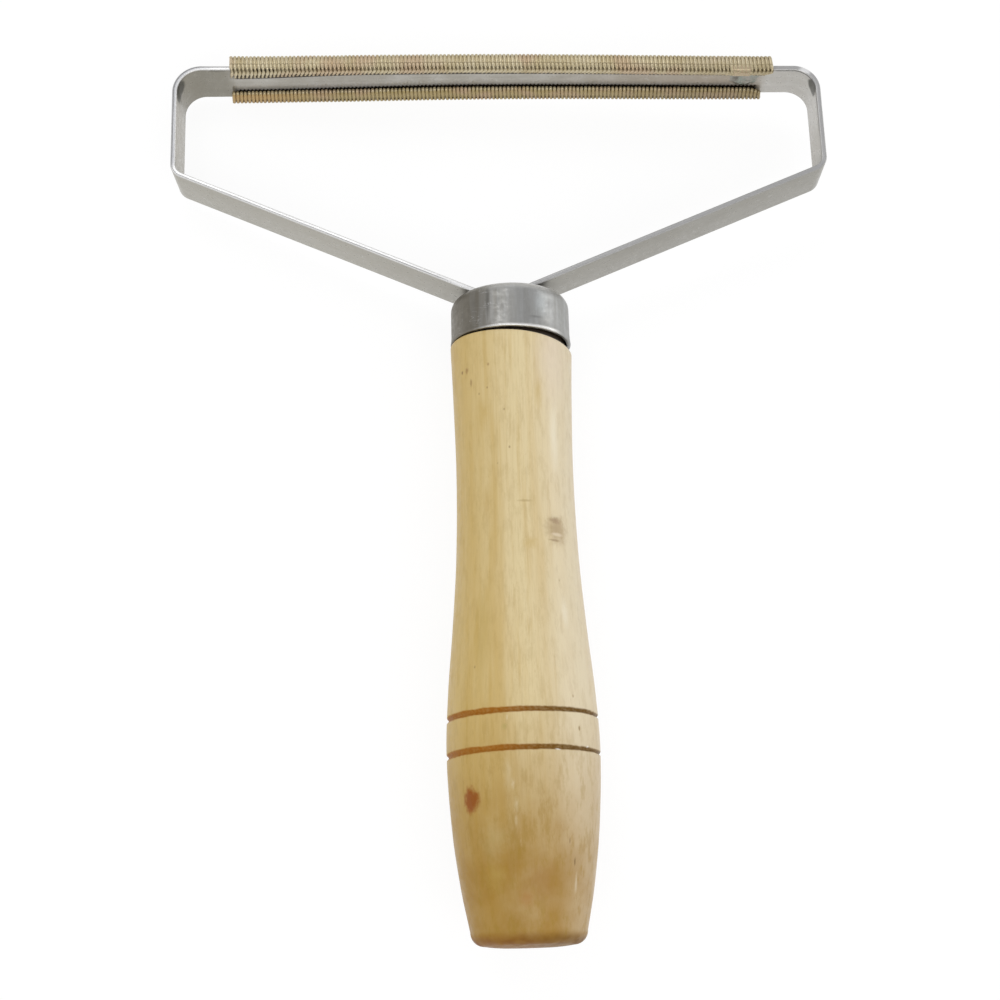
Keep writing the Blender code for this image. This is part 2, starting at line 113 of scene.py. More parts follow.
class NodeSheet:
    """One node tree, with short ways to add nodes to it and join them."""

    def __init__(self, tree: bpy.types.NodeTree) -> None:
        """Keep the node tree of a material, a world or a group."""
        self.tree = tree

    def feed(self, socket: Socket, source: Source) -> None:
        """Give a socket its value, or link another socket to it.

        Args:
            socket: The input.
            source: A socket, a number or a tuple.
        """
        if isinstance(source, Socket):
            self.tree.links.new(source, socket)
        else:
            socket.default_value = source

    def node(self, kind: str, inputs: Inputs | None = None, **settings: object) -> bpy.types.Node:
        """Add a node.

        Args:
            kind: Blender's name of the node's type.
            inputs: Sources by the input's name or number.
            **settings: Properties of the node.

        Returns:
            The node.
        """
        made = self.tree.nodes.new(kind)
        for name, value in settings.items():
            setattr(made, name, value)
        for key, source in (inputs or {}).items():
            self.feed(made.inputs[key], source)
        return made

    def attribute(self, name: str) -> Socket:
        """Return an attribute of the mesh as a vector."""
        return self.node("ShaderNodeAttribute", attribute_name=name).outputs["Vector"]

    def split(self, vector: Source) -> tuple[Socket, ...]:
        """Return the three parts of a vector."""
        return tuple(self.node("ShaderNodeSeparateXYZ", {0: vector}).outputs)

    def maths(self, operation: str, *values: Source, clamped: bool = False) -> Socket:
        """Return the result of one sum, kept between 0 and 1 where it is clamped."""
        made = self.node("ShaderNodeMath", dict(enumerate(values)), operation=operation, use_clamp=clamped)
        return made.outputs[0]

    def times(self, *shares: Source) -> Source:
        """Return the product of some shares, kept between 0 and 1."""
        return reduce(lambda first, second: self.maths("MULTIPLY", first, second, clamped=True), shares)

    def plus(self, *shares: Source) -> Source:
        """Return the sum of some shares, kept between 0 and 1."""
        return reduce(lambda first, second: self.maths("ADD", first, second, clamped=True), shares)

    def vector(self, operation: str, *values: Source) -> Socket:
        """Return the result of one sum on vectors."""
        made = self.node("ShaderNodeVectorMath", dict(enumerate(values)), operation=operation)
        return made.outputs["Vector"]

    def ramp(self, value: Source, low: Source, high: Source, start: float = 0.0, end: float = 1.0) -> Socket:
        """Map a value smoothly from one range to another.

        Args:
            value: What is mapped.
            low: Where the range starts.
            high: Where it ends.
            start: Result at low.
            end: Result at high.

        Returns:
            The result's socket.
        """
        inputs = {"Value": value, "From Min": low, "From Max": high, "To Min": start, "To Max": end}
        return self.node("ShaderNodeMapRange", inputs, interpolation_type="SMOOTHSTEP").outputs["Result"]

    def fall(self, value: Source, low: Source, high: Source, start: float = 1.0) -> Socket:
        """Return a share that falls smoothly to 0 from low to high."""
        return self.ramp(value, low, high, start, 0.0)

    def noise(self, where: Source, scale: Source, detail: float = 2.0, roughness: float = 0.5) -> Socket:
        """Add a noise texture.

        Args:
            where: The vector it is read at.
            scale: Its scale.
            detail: Its octaves.
            roughness: The share of the fine octaves.

        Returns:
            The value's socket.
        """
        inputs = {"Vector": where, "Scale": scale, "Detail": detail, "Roughness": roughness}
        return self.node("ShaderNodeTexNoise", inputs).outputs[0]

    def mix(self, factor: Source, first: Source, second: Source) -> Socket:
        """Return a mix of two colours, by the share of the second."""
        inputs = {0: factor, 6: opaque(first), 7: opaque(second)}
        return self.node("ShaderNodeMix", inputs, data_type="RGBA").outputs[2]

    def effect(self, group: bpy.types.NodeTree, *values: Source) -> Socket:
        """Place a shared effect with its inputs in their order, and return what it gives."""
        return self.node("ShaderNodeGroup", dict(enumerate(values)), node_tree=group).outputs[0]


def opaque(colour: Source) -> Source:
    """Give a plain colour its alpha, and leave a socket as it is."""
    return (*colour, 1.0) if isinstance(colour, tuple) and len(colour) == 3 else colour


def draw_streaks(sheet: NodeSheet, where: Source, stretch: Source, seed: Source, fineness: Source,
                 low: Source, high: Source) -> Socket:
    """Long soft streaks: a stretched noise of some fineness, cut between two levels."""
    drawn = sheet.vector("ADD", sheet.vector("MULTIPLY", where, stretch), seed)
    return sheet.ramp(sheet.noise(drawn, fineness, 3.0, 0.6), low, high)


def draw_spot(sheet: NodeSheet, where: Source, centre: Source, reach: Source, core: Source,
              ragged: Source) -> Socket:
    """One mark with a ragged soft edge, as an ellipsoid round a place.

    Args:
        sheet: The group's sheet.
        where: The place that is coloured.
        centre: Middle of the mark.
        reach: Its half axes.
        core: Share of its reach that is full.
        ragged: How ragged its edge is.

    Returns:
        The mask's socket.
    """
    share = sheet.vector("DIVIDE", sheet.vector("SUBTRACT", where, centre), reach)
    length = sheet.node("ShaderNodeVectorMath", {0: share}, operation="LENGTH").outputs["Value"]
    rough = sheet.maths("SUBTRACT", sheet.noise(share, 2.3, 4.0, 0.65), 0.5)
    return sheet.fall(sheet.maths("ADD", length, sheet.maths("MULTIPLY", rough, ragged)), core, 1.0)


def draw_scratches(sheet: NodeSheet, where: Source, stretch: Source, seed: Source, fineness: Source,
                   width: Source, share: Source) -> Socket:
    """Thin stray scratches: the lines where a warped stretched noise passes its middle value.

    Args:
        sheet: The group's sheet.
        where: The place that is coloured.
        stretch: Share of a scratch's width along each axis.
        seed: Shift that makes this set differ.
        fineness: Scratches to the millimetre, roughly.
        width: How wide a line is.
        share: Level above which scratches are kept.

    Returns:
        The mask's socket.
    """
    drawn = sheet.vector("ADD", sheet.vector("MULTIPLY", where, stretch), seed)
    off = sheet.maths("ABSOLUTE", sheet.maths("SUBTRACT", sheet.noise(drawn, fineness, 1.0, 0.4), 0.5))
    kept = sheet.ramp(sheet.noise(sheet.vector("ADD", where, (31.0, 7.0, 19.0)), 0.35), share, 0.75)
    return sheet.times(sheet.fall(off, 0.0, width), kept)


def draw_ripple(sheet: NodeSheet, where: Source, slow: Source, fine: Source, tooth: Source) -> Socket:
    """Height of a surface that is a little uneven: slow waves with a finer tooth on them."""
    grit = sheet.maths("MULTIPLY", sheet.noise(where, fine, 3.0, 0.6), tooth)
    return sheet.maths("ADD", sheet.noise(where, slow, 1.0), grit)


class Effects:
    """Effects that several finishes share, each a node group that is made once."""

    def __init__(self) -> None:
        """Make all the groups."""
        drawn = ("Vector", "Stretch", "Seed")
        self.streaks = self._group("streaks", drawn, ("Fineness", "Low", "High"), draw_streaks)
        self.spot = self._group("spot", ("Vector", "Centre", "Reach"), ("Core", "Ragged"), draw_spot)
        self.scratches = self._group("scratches", drawn, ("Fineness", "Width", "Share"), draw_scratches)
        self.ripple = self._group("ripple", ("Vector",), ("Slow", "Fine", "Tooth"), draw_ripple, "Height")

    @staticmethod
    def _group(name: str, vectors: Sequence[str], numbers: Sequence[str], draw: Callable[..., Socket],
               output: str = "Mask") -> bpy.types.NodeTree:
        """Make one node group.

        Args:
            name: The group's name.
            vectors: Names of its vector inputs, which come first.
            numbers: Names of its number inputs.
            draw: Draws the effect on a sheet from its inputs, and returns the result.
            output: Name of the result.

        Returns:
            The group.
        """
        tree = bpy.data.node_groups.new(name, "ShaderNodeTree")
        kinds = [(label, "NodeSocketVector") for label in vectors]
        kinds += [(label, "NodeSocketFloat") for label in numbers]
        for label, kind in kinds:
            tree.interface.new_socket(name=label, in_out="INPUT", socket_type=kind)
        tree.interface.new_socket(name=output, in_out="OUTPUT", socket_type="NodeSocketFloat")
        sheet = NodeSheet(tree)
        given = sheet.node("NodeGroupInput").outputs
        sheet.node("NodeGroupOutput", {0: draw(sheet, *(given[label] for label, _ in kinds))})
        return tree


@dataclass(frozen=True)
class Skin:
    """How a finish catches the light: its share of metal, its gloss and its slight unevenness."""

    metallic: float
    gloss: Pair
    cloud: tuple[float, ...]
    levels: Pair
    waves: Triple
    bump: float
    depth: float
    grain: Triple = (1.0, 1.0, 1.0)


class Paint(NodeSheet):
    """The node tree of one material, with the colour that its layers have made so far."""

    def __init__(self, name: str, effects: Effects, colour: Source, pattern: str = "place") -> None:
        """Start a material.

        Args:
            name: Its name.
            effects: The shared effects.
            colour: What the layers are laid on.
            pattern: The attribute that its patterns follow.
        """
        self.material = bpy.data.materials.new(name)
        self.material.use_nodes = True
        super().__init__(self.material.node_tree)
        self.shader = self.material.node_tree.nodes["Principled BSDF"]
        self.effects = effects
        self.colour = colour
        self.place = self.attribute("place")
        self.where = self.attribute(pattern)

    def lay(self, colour: Source, *shares: Source) -> None:
        """Lay a colour over the colour so far, by the product of some shares."""
        self.colour = self.mix(self.times(*shares), self.colour, colour)

    def lay_all(self, *layers: "Spot | Streaks | Scratches") -> None:
        """Lay spots, streaks and scratches in their own colours and strengths."""
        for layer in layers:
            self.lay(layer.colour, layer.mask(self), layer.strength)

    def clouds(self, kind: tuple[float, ...], levels: Pair, shares: Pair = (0.0, 1.0)) -> Socket:
        """Return soft blotches: a noise of some scale, detail and roughness, cut between two levels."""
        return self.ramp(self.noise(self.where, *kind), *levels, *shares)

    def finish(self, skin: Skin) -> bpy.types.Material:
        """Close the material.

        Args:
            skin: How it catches the light.

        Returns:
            The material.
        """
        self.feed(self.shader.inputs["Base Color"], self.colour)
        self.shader.inputs["Metallic"].default_value = skin.metallic
        self.feed(self.shader.inputs["Roughness"], self.clouds(skin.cloud, skin.levels, skin.gloss))
        drawn = self.vector("MULTIPLY", self.where, skin.grain)
        height = self.effect(self.effects.ripple, drawn, *skin.waves)
        bump = {"Height": height, "Strength": skin.bump, "Distance": skin.depth * MM}
        self.feed(self.shader.inputs["Normal"], self.node("ShaderNodeBump", bump).outputs[0])
        return self.material


@dataclass(frozen=True)
class Spot:
    """A ragged ellipsoid of colour, in millimetres along the piece's own axes."""

    centre: Triple
    reach: Triple
    colour: Colour
    strength: float = 1.0
    core: float = 0.2
    ragged: float = 0.5

    def mask(self, paint: Paint) -> Socket:
        """Return where the spot is."""
        kind = (self.centre, self.reach, self.core, self.ragged)
        return paint.effect(paint.effects.spot, paint.place, *kind)


def mark(distance: float, angle: float, radius: float, *look: object) -> Spot:
    """Place a knot, speck, stain or pale patch on a round piece.

    Args:
        distance: Millimetres from the butt.
        angle: Degrees off straight up towards +X.
        radius: Distance from the tool's axis.
        *look: Reach, colour, strength, core and raggedness, as a Spot takes them.

    Returns:
        The spot.
    """
    turn = math.radians(angle)
    return Spot((radius * math.sin(turn), distance, radius * math.cos(turn)), *look)


@dataclass(frozen=True)
class Streaks:
    """One set of long soft streaks of a colour."""

    colour: Colour
    seed: Triple
    fineness: float
    low: float
    high: float
    strength: float = 1.0
    stretch: Triple = Stretch.ALONG_TOOL.value

    def mask(self, paint: Paint) -> Socket:
        """Return where the streaks are."""
        cut = (self.stretch, self.seed, self.fineness, self.low, self.high)
        return paint.effect(paint.effects.streaks, paint.where, *cut)


@dataclass(frozen=True)
class Scratches:
    """One set of thin stray scratches of a colour."""

    colour: Colour
    seed: Triple
    stretch: Triple
    fineness: float
    width: float
    share: float
    strength: float

    def mask(self, paint: Paint) -> Socket:
        """Return where the scratches are."""
        kind = (self.stretch, self.seed, self.fineness, self.width, self.share)
        return paint.effect(paint.effects.scratches, paint.where, *kind)


@dataclass(frozen=True)
class Finish:
    """What all finishes share: each names its material and lays its own colours."""

    name: ClassVar[str]
    pattern: ClassVar[str] = "place"
    skin: ClassVar[Skin]
    base: Colour = (0.5, 0.5, 0.5)

    def dress(self, paint: Paint) -> None:
        """Lay the colours of the finish."""
        raise NotImplementedError

    def make(self, effects: Effects) -> bpy.types.Material:
        """Build the material.

        Args:
            effects: The shared effects.

        Returns:
            The material.
        """
        paint = Paint(self.name, effects, self.base, self.pattern)
        self.dress(paint)
        return paint.finish(self.skin)


@dataclass(frozen=True)
class VarnishedWood(Finish):
    """Pale turned wood under a satin varnish, with knots, specks and scorched grooves."""

    name = "varnished_wood"
    skin = Skin(metallic=0.0, gloss=(0.39, 0.55), cloud=(0.5, 3.0, 0.6), levels=(0.3, 0.7),
                waves=(0.25, 2.6, 0.25), bump=0.35, depth=0.35, grain=(1.0, 0.3, 1.0))
    base: Colour = (0.765, 0.632, 0.36)
    grain: tuple[Streaks, ...] = (
        Streaks((0.64, 0.46, 0.18), (0.0, 0.0, 0.0), 0.11, 0.36, 0.66),
        Streaks((0.56, 0.37, 0.1), (9.0, 4.0, 2.0), 0.6, 0.47, 0.74, 0.45),
        Streaks((0.5, 0.35, 0.15), (3.0, 8.0, 5.0), 3.0, 0.42, 0.78, 0.28),
        Streaks((0.5, 0.35, 0.15), (17.0, 3.0, 6.0), 5.5, 0.62, 0.76, 0.45, (1.0, 0.12, 1.0)),
    )
    # Left: the wood's deeper tan with painted shade. Right: paler, with painted sheen.
    left: Colour = (0.57, 0.37, 0.07)
    right: Colour = (0.75, 0.66, 0.49)
    stain: Colour = (0.33, 0.165, 0.006)
    scorch: Colour = (0.36, 0.13, 0.006)
    # Painted shade of the gap under the ferrule, laid on the bare tenon and in the slot.
    tenon_gap_shade: Colour = (0.02, 0.012, 0.006)
    rim: Colour = (0.22, 0.085, 0.01)
    mottle: Colour = (0.34, 0.2, 0.02)
    char: Colour = (0.15, 0.08, 0.012)
    specular: float = 0.14
    coat: float = 0.34
    coat_roughness: float = 0.25
    marks: tuple[Spot, ...] = (
        mark(88.1, 40.0, 13.6, (4.6, 4.4, 4.0), (0.38, 0.26, 0.13), 0.7, 0.05, 1.0),
        mark(90.2, 38.0, 13.6, (2.6, 1.1, 2.2), (0.28, 0.17, 0.08), 0.6, 0.1, 1.0),
        mark(87.0, 40.0, 13.6, (2.4, 0.6, 2.0), (0.74, 0.62, 0.44), 0.75, 0.2, 0.8),
        mark(85.6, 36.0, 13.7, (2.0, 0.4, 2.0), (0.3, 0.19, 0.09), 0.6, 0.2, 0.9),
        mark(84.7, 12.0, 13.8, (2.2, 2.0, 2.0), (0.56, 0.38, 0.12), 0.4, 0.0, 1.2),
        mark(94.2, 8.0, 13.5, (2.4, 0.4, 2.0), (0.45, 0.31, 0.13), 0.5, 0.2, 0.9),
        mark(29.9, -44.0, 16.2, (3.2, 3.3, 3.0), (0.42, 0.2, 0.04), 0.6, 0.1, 0.8),
        mark(29.9, -44.5, 16.2, (2.7, 3.4, 2.8), (0.29, 0.08, 0.0), 1.0, 0.42, 0.9),
        mark(126.1, -48.0, 13.8, (0.7, 1.0, 0.8), (0.33, 0.18, 0.07), 0.7, 0.1, 1.0),
        mark(126.1, -55.0, 13.8, (0.5, 0.6, 0.5), (0.24, 0.13, 0.05), 0.7, 0.3, 0.4),
        mark(126.3, -23.0, 13.8, (0.4, 0.5, 0.4), (0.36, 0.2, 0.08), 0.6, 0.3, 0.4),
        mark(122.9, -43.0, 13.7, (0.5, 1.3, 0.5), (0.3, 0.17, 0.06), 0.6, 0.2, 0.6),
        mark(120.9, -25.0, 13.7, (0.3, 0.4, 0.3), (0.26, 0.14, 0.05), 0.7, 0.3, 0.4),
        mark(119.8, -34.0, 13.7, (0.3, 0.4, 0.3), (0.26, 0.14, 0.05), 0.7, 0.3, 0.4),
        mark(115.4, -9.0, 13.5, (0.3, 0.4, 0.3), (0.32, 0.19, 0.08), 0.6, 0.3, 0.4),
        mark(106.6, -5.0, 13.4, (0.35, 0.5, 0.4), (0.28, 0.16, 0.06), 0.7, 0.3, 0.4),
        mark(103.1, -17.0, 13.4, (0.3, 0.4, 0.3), (0.34, 0.2, 0.08), 0.6, 0.3, 0.4),
        mark(76.6, 38.0, 14.4, (0.3, 0.5, 0.3), (0.34, 0.21, 0.09), 0.6, 0.3, 0.4),
        mark(57.9, -39.0, 16.0, (0.4, 0.5, 0.4), (0.32, 0.18, 0.06), 0.6, 0.3, 0.4),
        mark(51.1, 41.0, 16.4, (0.3, 0.5, 0.3), (0.36, 0.22, 0.1), 0.6, 0.3, 0.4),
        mark(44.3, 45.0, 16.7, (0.4, 0.7, 0.4), (0.26, 0.15, 0.05), 0.7, 0.3, 0.5),
        mark(44.5, -14.0, 16.7, (0.9, 0.9, 0.8), (0.47, 0.37, 0.12), 0.65, 0.1, 0.8),
        mark(16.7, 41.0, 14.9, (0.35, 1.4, 0.4), (0.2, 0.12, 0.04), 0.7, 0.2, 0.9),
        mark(20.9, 35.0, 15.5, (0.3, 1.0, 0.3), (0.25, 0.15, 0.05), 0.6, 0.2, 0.8),
        # A wide, pale painted sheen on the right side near the ferrule.
        mark(128.0, 42.0, 13.9, (7.0, 16.0, 7.0), (0.74, 0.62, 0.5), 0.45, 0.0, 0.6),
        mark(21.5, -26.0, 15.6, (5.5, 6.5, 4.5), (0.66, 0.54, 0.28), 0.3, 0.0, 1.0),
        mark(13.2, 10.0, 14.4, (5.4, 5.4, 4.0), (0.36, 0.19, 0.05), 0.55, 0.0, 1.1),
        mark(9.5, -2.0, 13.8, (2.4, 2.4, 2.2), (0.4, 0.18, 0.04), 0.55, 0.0, 1.0),
        mark(9.0, 24.0, 13.4, (5.0, 3.6, 4.0), (0.42, 0.26, 0.09), 0.4, 0.0, 1.1),
        mark(14.0, -28.0, 14.5, (3.6, 4.6, 3.0), (0.56, 0.42, 0.12), 0.25, 0.0, 1.1),
        mark(114.9, -31.0, 13.5, (2.6, 5.4, 2.4), (0.56, 0.38, 0.11), 0.5, 0.0, 1.0),
        mark(94.6, -29.0, 13.5, (1.3, 5.6, 1.4), (0.55, 0.37, 0.12), 0.5, 0.0, 1.0),
        mark(119.6, 25.0, 13.6, (1.5, 6.0, 1.6), (0.6, 0.44, 0.18), 0.45, 0.0, 1.0),
        mark(64.8, -32.0, 15.3, (3.3, 15.0, 3.2), (0.55, 0.4, 0.13), 0.45, 0.0, 1.1),
        # Two painted highlights along the right side.
        mark(109.8, 42.0, 13.4, (1.7, 12.0, 2.0), (0.88, 0.82, 0.66), 0.5, 0.0, 0.7),
        mark(69.4, 41.0, 14.9, (1.3, 5.0, 1.6), (0.86, 0.8, 0.64), 0.45, 0.0, 0.8),
    )
    glints: tuple[Spot, ...] = (
        mark(46.4, -12.0, 16.7, (0.35, 0.8, 0.4), (0.86, 0.8, 0.6), 0.3, 0.0, 1.2),
        mark(35.0, -12.0, 16.6, (1.5, 4.2, 1.2), (0.84, 0.77, 0.55), 0.14, 0.0, 1.7),
        mark(32.6, -9.0, 16.4, (0.6, 1.5, 0.6), (0.88, 0.82, 0.62), 0.24, 0.0, 1.8),
        mark(28.4, -7.0, 16.1, (0.7, 2.2, 0.6), (0.86, 0.79, 0.58), 0.22, 0.0, 1.8),
        mark(25.0, -8.0, 16.0, (0.5, 1.6, 0.5), (0.86, 0.79, 0.58), 0.2, 0.0, 1.6),
        mark(20.2, -5.0, 15.6, (0.4, 1.6, 0.4), (0.84, 0.76, 0.55), 0.14, 0.0, 1.6),
        mark(12.6, 44.0, 14.2, (0.5, 6.4, 0.6), (0.84, 0.77, 0.6), 0.34, 0.0, 1.3),
        mark(39.6, 25.0, 16.6, (0.9, 0.3, 0.6), (0.93, 0.9, 0.82), 0.8, 0.2, 0.8),
        mark(40.6, 54.0, 16.6, (0.7, 0.3, 0.6), (0.93, 0.9, 0.82), 0.7, 0.2, 0.8),
    )

    def dress(self, paint: Paint) -> None:
        """Lay the grain, the stains, painted shade on the left side and painted sheen on the right, the marks
        with painted highlights among them, the scorched places, painted shade in the tenon's gap, and the
        varnish.

        Args:
            paint: The material's sheet.
        """
        paint.lay_all(*self.grain)
        across, along, _ = paint.split(paint.place)
        # The left side is painted darker and deeper tan, and the right side paler: partly the wood's own
        # tone, partly painted shade on the left and painted sheen on the right.
        paint.lay(paint.mix(0.3, self.left, paint.colour), paint.fall(across, -14.0, 2.0, 0.9))
        paint.lay(self.right, paint.ramp(across, -1.0, 12.5, 0.0, 0.6))
        blotch = paint.clouds((0.09, 4.0, 0.6), (0.3, 0.7), (0.75, 1.0))
        paint.lay(self.stain, paint.fall(along, 6.0, 56.0, 0.95), blotch)
        # More painted sheen on the right side.
        paint.lay(self.right, paint.ramp(across, 4.0, 13.0, 0.0, 0.22))
        cells = paint.noise(paint.vector("MULTIPLY", paint.place, (1.0, 0.3, 1.0)), 0.55, 5.0, 0.7)
        handled = paint.ramp(along, 10.0, 52.0, 1.0, 0.3)
        paint.lay(self.mottle, paint.ramp(cells, 0.46, 0.66, 0.0, 0.5), handled)
        paint.lay_all(*self.marks)
        groove, butt, bare = paint.split(paint.attribute("scorch"))
        near_rim = paint.ramp(butt, 0.5, 0.85)
        side = paint.ramp(across, -8.0, 10.0, 0.0, 0.9)
        paint.lay(paint.mix(side, self.scorch, self.char), groove,
                  paint.clouds((1.4, 3.0, 0.6), (0.2, 0.7), (0.75, 1.0)))
        paint.lay(paint.mix(paint.times(side, 0.75), self.rim, self.char), near_rim,
                  paint.clouds((0.35, 3.0), (0.3, 0.7), (0.7, 1.0)))
        # Painted shade: the bare tenon and the slot are painted near black, as the dark gap under the
        # ferrule.
        paint.lay(self.tenon_gap_shade, bare)
        paint.lay_all(*self.glints)
        thin = paint.clouds((0.8, 2.0), (0.25, 0.6), (self.coat * 0.5, self.coat))
        varnish = paint.maths("SUBTRACT", thin, paint.plus(groove, near_rim), clamped=True)
        paint.feed(paint.shader.inputs["Coat Weight"], varnish)
        paint.shader.inputs["Coat Roughness"].default_value = self.coat_roughness
        paint.shader.inputs["Specular IOR Level"].default_value = self.specular


@dataclass(frozen=True)
class DrawnSteel(Finish):
    """Dull drawn steel with streaks along the tool, for the ferrule."""

    name = "drawn_steel"
    skin = Skin(metallic=1.0, gloss=(0.37, 0.56), cloud=(0.9, 4.0, 0.6), levels=(0.25, 0.75),
                waves=(0.35, 4.0, 0.2), bump=0.35, depth=0.25, grain=(1.0, 0.2, 1.0))
    base: Colour = (0.42, 0.425, 0.42)
    # Painted highlight colour for the foot's edge and the crown.
    lip: Colour = (0.86, 0.86, 0.84)
    wide: Streaks = Streaks((0.2, 0.185, 0.155), (2.0, 0.0, 5.0), 0.7, 0.3, 0.7, 0.35, (1.0, 0.06, 1.0))
    fine: Streaks = Streaks((0.2, 0.185, 0.155), (6.0, 1.0, 5.0), 3.2, 0.45, 0.8, 0.15, (1.0, 0.1, 1.0))
    marks: tuple[Spot, ...] = (
        mark(142.0, -22.0, 13.6, (0.75, 6.0, 1.5), (0.13, 0.125, 0.11), 0.7, 0.1, 0.7),
        mark(140.5, -38.0, 13.6, (0.9, 6.0, 1.5), (0.2, 0.19, 0.17), 0.5, 0.0, 0.8),
        # A painted pale reflection on the right side.
        mark(141.0, 31.0, 13.6, (2.4, 5.0, 3.0), (0.6, 0.64, 0.65), 0.5, 0.0, 0.6),
        mark(137.5, 25.0, 13.8, (2.6, 0.5, 2.0), (0.2, 0.2, 0.19), 0.5, 0.1, 0.7),
    )
    stray: Scratches = Scratches((0.7, 0.7, 0.7), (0.0, 3.0, 0.0), (0.3, 1.0, 0.3), 0.9, 0.012, 0.45, 0.5)

    def dress(self, paint: Paint) -> None:
        """Lay the drift from dark to light with a painted shade on the left side, the streaks, the marks with
        a painted reflection among them, the scratches, and painted highlights on the foot and the crown.

        Args:
            paint: The material's sheet.
        """
        across, along, _ = paint.split(paint.place)
        # The wide streaks, and a painted shade that darkens the left side.
        drift = paint.times(self.wide.mask(paint), self.wide.strength)
        paint.lay(self.wide.colour, paint.plus(drift, paint.fall(across, -13.0, 3.0, 0.95)))
        paint.lay_all(self.fine, *self.marks, self.stray)
        # Painted highlights: a bright line along the foot's right half and a pale glow on the crown.
        foot = paint.times(paint.fall(along, 135.3, 135.75, 0.9), paint.ramp(across, -10.0, -2.0),
                           paint.fall(across, 9.5, 12.0))
        crown = paint.times(paint.ramp(along, 143.8, 145.2, 0.0, 0.5), paint.ramp(across, -9.0, -2.0))
        paint.lay(self.lip, paint.plus(foot, crown))


@dataclass(frozen=True)
class RolledSteel(Finish):
    """Bright rolled strip with faint lines along it and a few stray scratches."""

    name = "rolled_steel"
    pattern = "run"
    skin = Skin(metallic=0.5, gloss=(0.25, 0.4), cloud=(0.7, 4.0, 0.6), levels=(0.25, 0.75),
                waves=(0.2, 2.4, 0.06), bump=0.3, depth=0.2, grain=(0.25, 1.0, 1.0))
    base: Colour = (0.43, 0.407, 0.352)
    rolled: Streaks = Streaks((0.36, 0.338, 0.29), (4.0, 0.0, 0.0), 0.9, 0.3, 0.72, 1.0,
                              Stretch.ALONG_STRIP.value)
    arm: Colour = (0.385, 0.37, 0.32)
    far_arm_shade: Colour = (0.27, 0.262, 0.232)
    edge: Colour = (0.44, 0.44, 0.44)
    pale_tone_and_light: Colour = (0.66, 0.65, 0.63)
    edge_highlight: Colour = (0.9, 0.9, 0.9)
    blue_edge: Colour = (0.45, 0.455, 0.475)
    olive: Colour = (0.22, 0.205, 0.16)
    brass_reflection: Colour = (0.36, 0.29, 0.21)
    shade_and_soil: Colour = (0.03, 0.02, 0.01)
    hairline: Colour = (0.06, 0.06, 0.06)
    stray: tuple[Scratches, ...] = (
        Scratches((0.72, 0.72, 0.7), (0.0, 0.0, 0.0), (0.35, 1.0, 1.0), 0.5, 0.01, 0.5, 0.45),
        Scratches((0.72, 0.72, 0.7), (8.0, 5.0, 1.0), (1.0, 0.4, 1.0), 0.5, 0.01, 0.5, 0.45),
    )
    lips: Pair = (-1.55, 63.5)
    near_line: Pair = (1.85, 3.0)
    pitch: float = 0.946
    # Painted dark reflections at the frame's two upper corners, on the strip's inner face.
    shades: tuple[Spot, ...] = (
        Spot((75.7, 199.6, 4.0), (2.4, 2.3, 2.9), (0.035, 0.033, 0.02), 1.0, 0.72, 0.25),
        Spot((-75.9, 199.7, 4.0), (2.6, 3.1, 3.2), (0.035, 0.033, 0.02), 1.0, 0.72, 0.25),
    )
    glare: Spot = Spot((74.2, 203.2, 6.0), (2.2, 1.7, 1.6), (0.9, 0.9, 0.9), 1.0, 0.3, 0.3)
    arms_end: Pair = (176.0, 186.0)

    def dress(self, paint: Paint) -> None:
        """Lay the rolled face, the painted light, shadow and brass reflection beside the wire, the edges with
        their painted highlights and dark reflections, and the hairline, a painted dark reflection.

        Args:
            paint: The material's sheet.
        """
        _, depth, edge = paint.split(paint.where)
        across, height, _ = paint.split(paint.place)
        wound = paint.maths("ABSOLUTE", across)
        on_bar = paint.ramp(height, 196.0, 199.0)
        paint.lay_all(self.rolled)
        paint.lay(self.pale_tone_and_light, paint.clouds((0.12, 3.0, 0.6), (0.35, 0.7), (0.0, 0.3)))
        # Painted shade: the arms are painted darker than the bar, the far arm most.
        arm = paint.mix(paint.ramp(across, -45.0, 45.0), self.arm, self.far_arm_shade)
        paint.lay(arm, paint.fall(height, *self.arms_end, 0.8))
        # Painted reflection of the brass lips on the bare bar, stronger towards the right.
        paint.lay(self.brass_reflection, on_bar, paint.ramp(across, 5.0, 52.0, 0.0, 0.65), paint.fall(wound, 62.0, 66.0))
        # The bar's free ends: painted shade on the left end, painted light on the right end.
        free = paint.times(paint.ramp(wound, 62.5, 66.0), paint.ramp(height, 184.0, 198.0))
        shaded = paint.times(paint.ramp(height, 194.0, 201.0), paint.fall(across, -1.0, 1.0, 0.7))
        paint.lay(self.olive, free, shaded)
        paint.lay(self.pale_tone_and_light, free, paint.ramp(across, -1.0, 1.0, 0.0, 0.4))
        paint.lay_all(*self.stray)
        inside = paint.times(on_bar, paint.fall(wound, *self._around(self.lips[1], 0.5)))
        self._under_wire(paint, across, depth, inside)
        # The painted dark reflections at the corners, kept to the inner face.
        inner = paint.fall(depth, 6.2, 7.4, 0.9)
        for shade in self.shades:
            paint.lay(shade.colour, shade.mask(paint), inner)
        paint.lay(self._rim(paint, across, height), edge, 0.9)
        # The hairline: a painted dark reflection just inside the near edge, broken, and full at the right
        # corner.
        line = paint.times(paint.ramp(depth, 5.25, 5.5), paint.fall(depth, 5.6, 5.8))
        broken = paint.clouds((0.11, 2.0), (0.4, 0.6), (0.1, 0.85))
        corner = paint.times(paint.ramp(across, 66.0, 68.0, 0.0, 0.8), paint.ramp(height, 186.0, 190.0))
        paint.lay(self.hairline, line, paint.plus(broken, corner))

    @staticmethod
    def _around(value: float, margin: float) -> Pair:
        """Return a value less and plus a margin."""
        return value - margin, value + margin

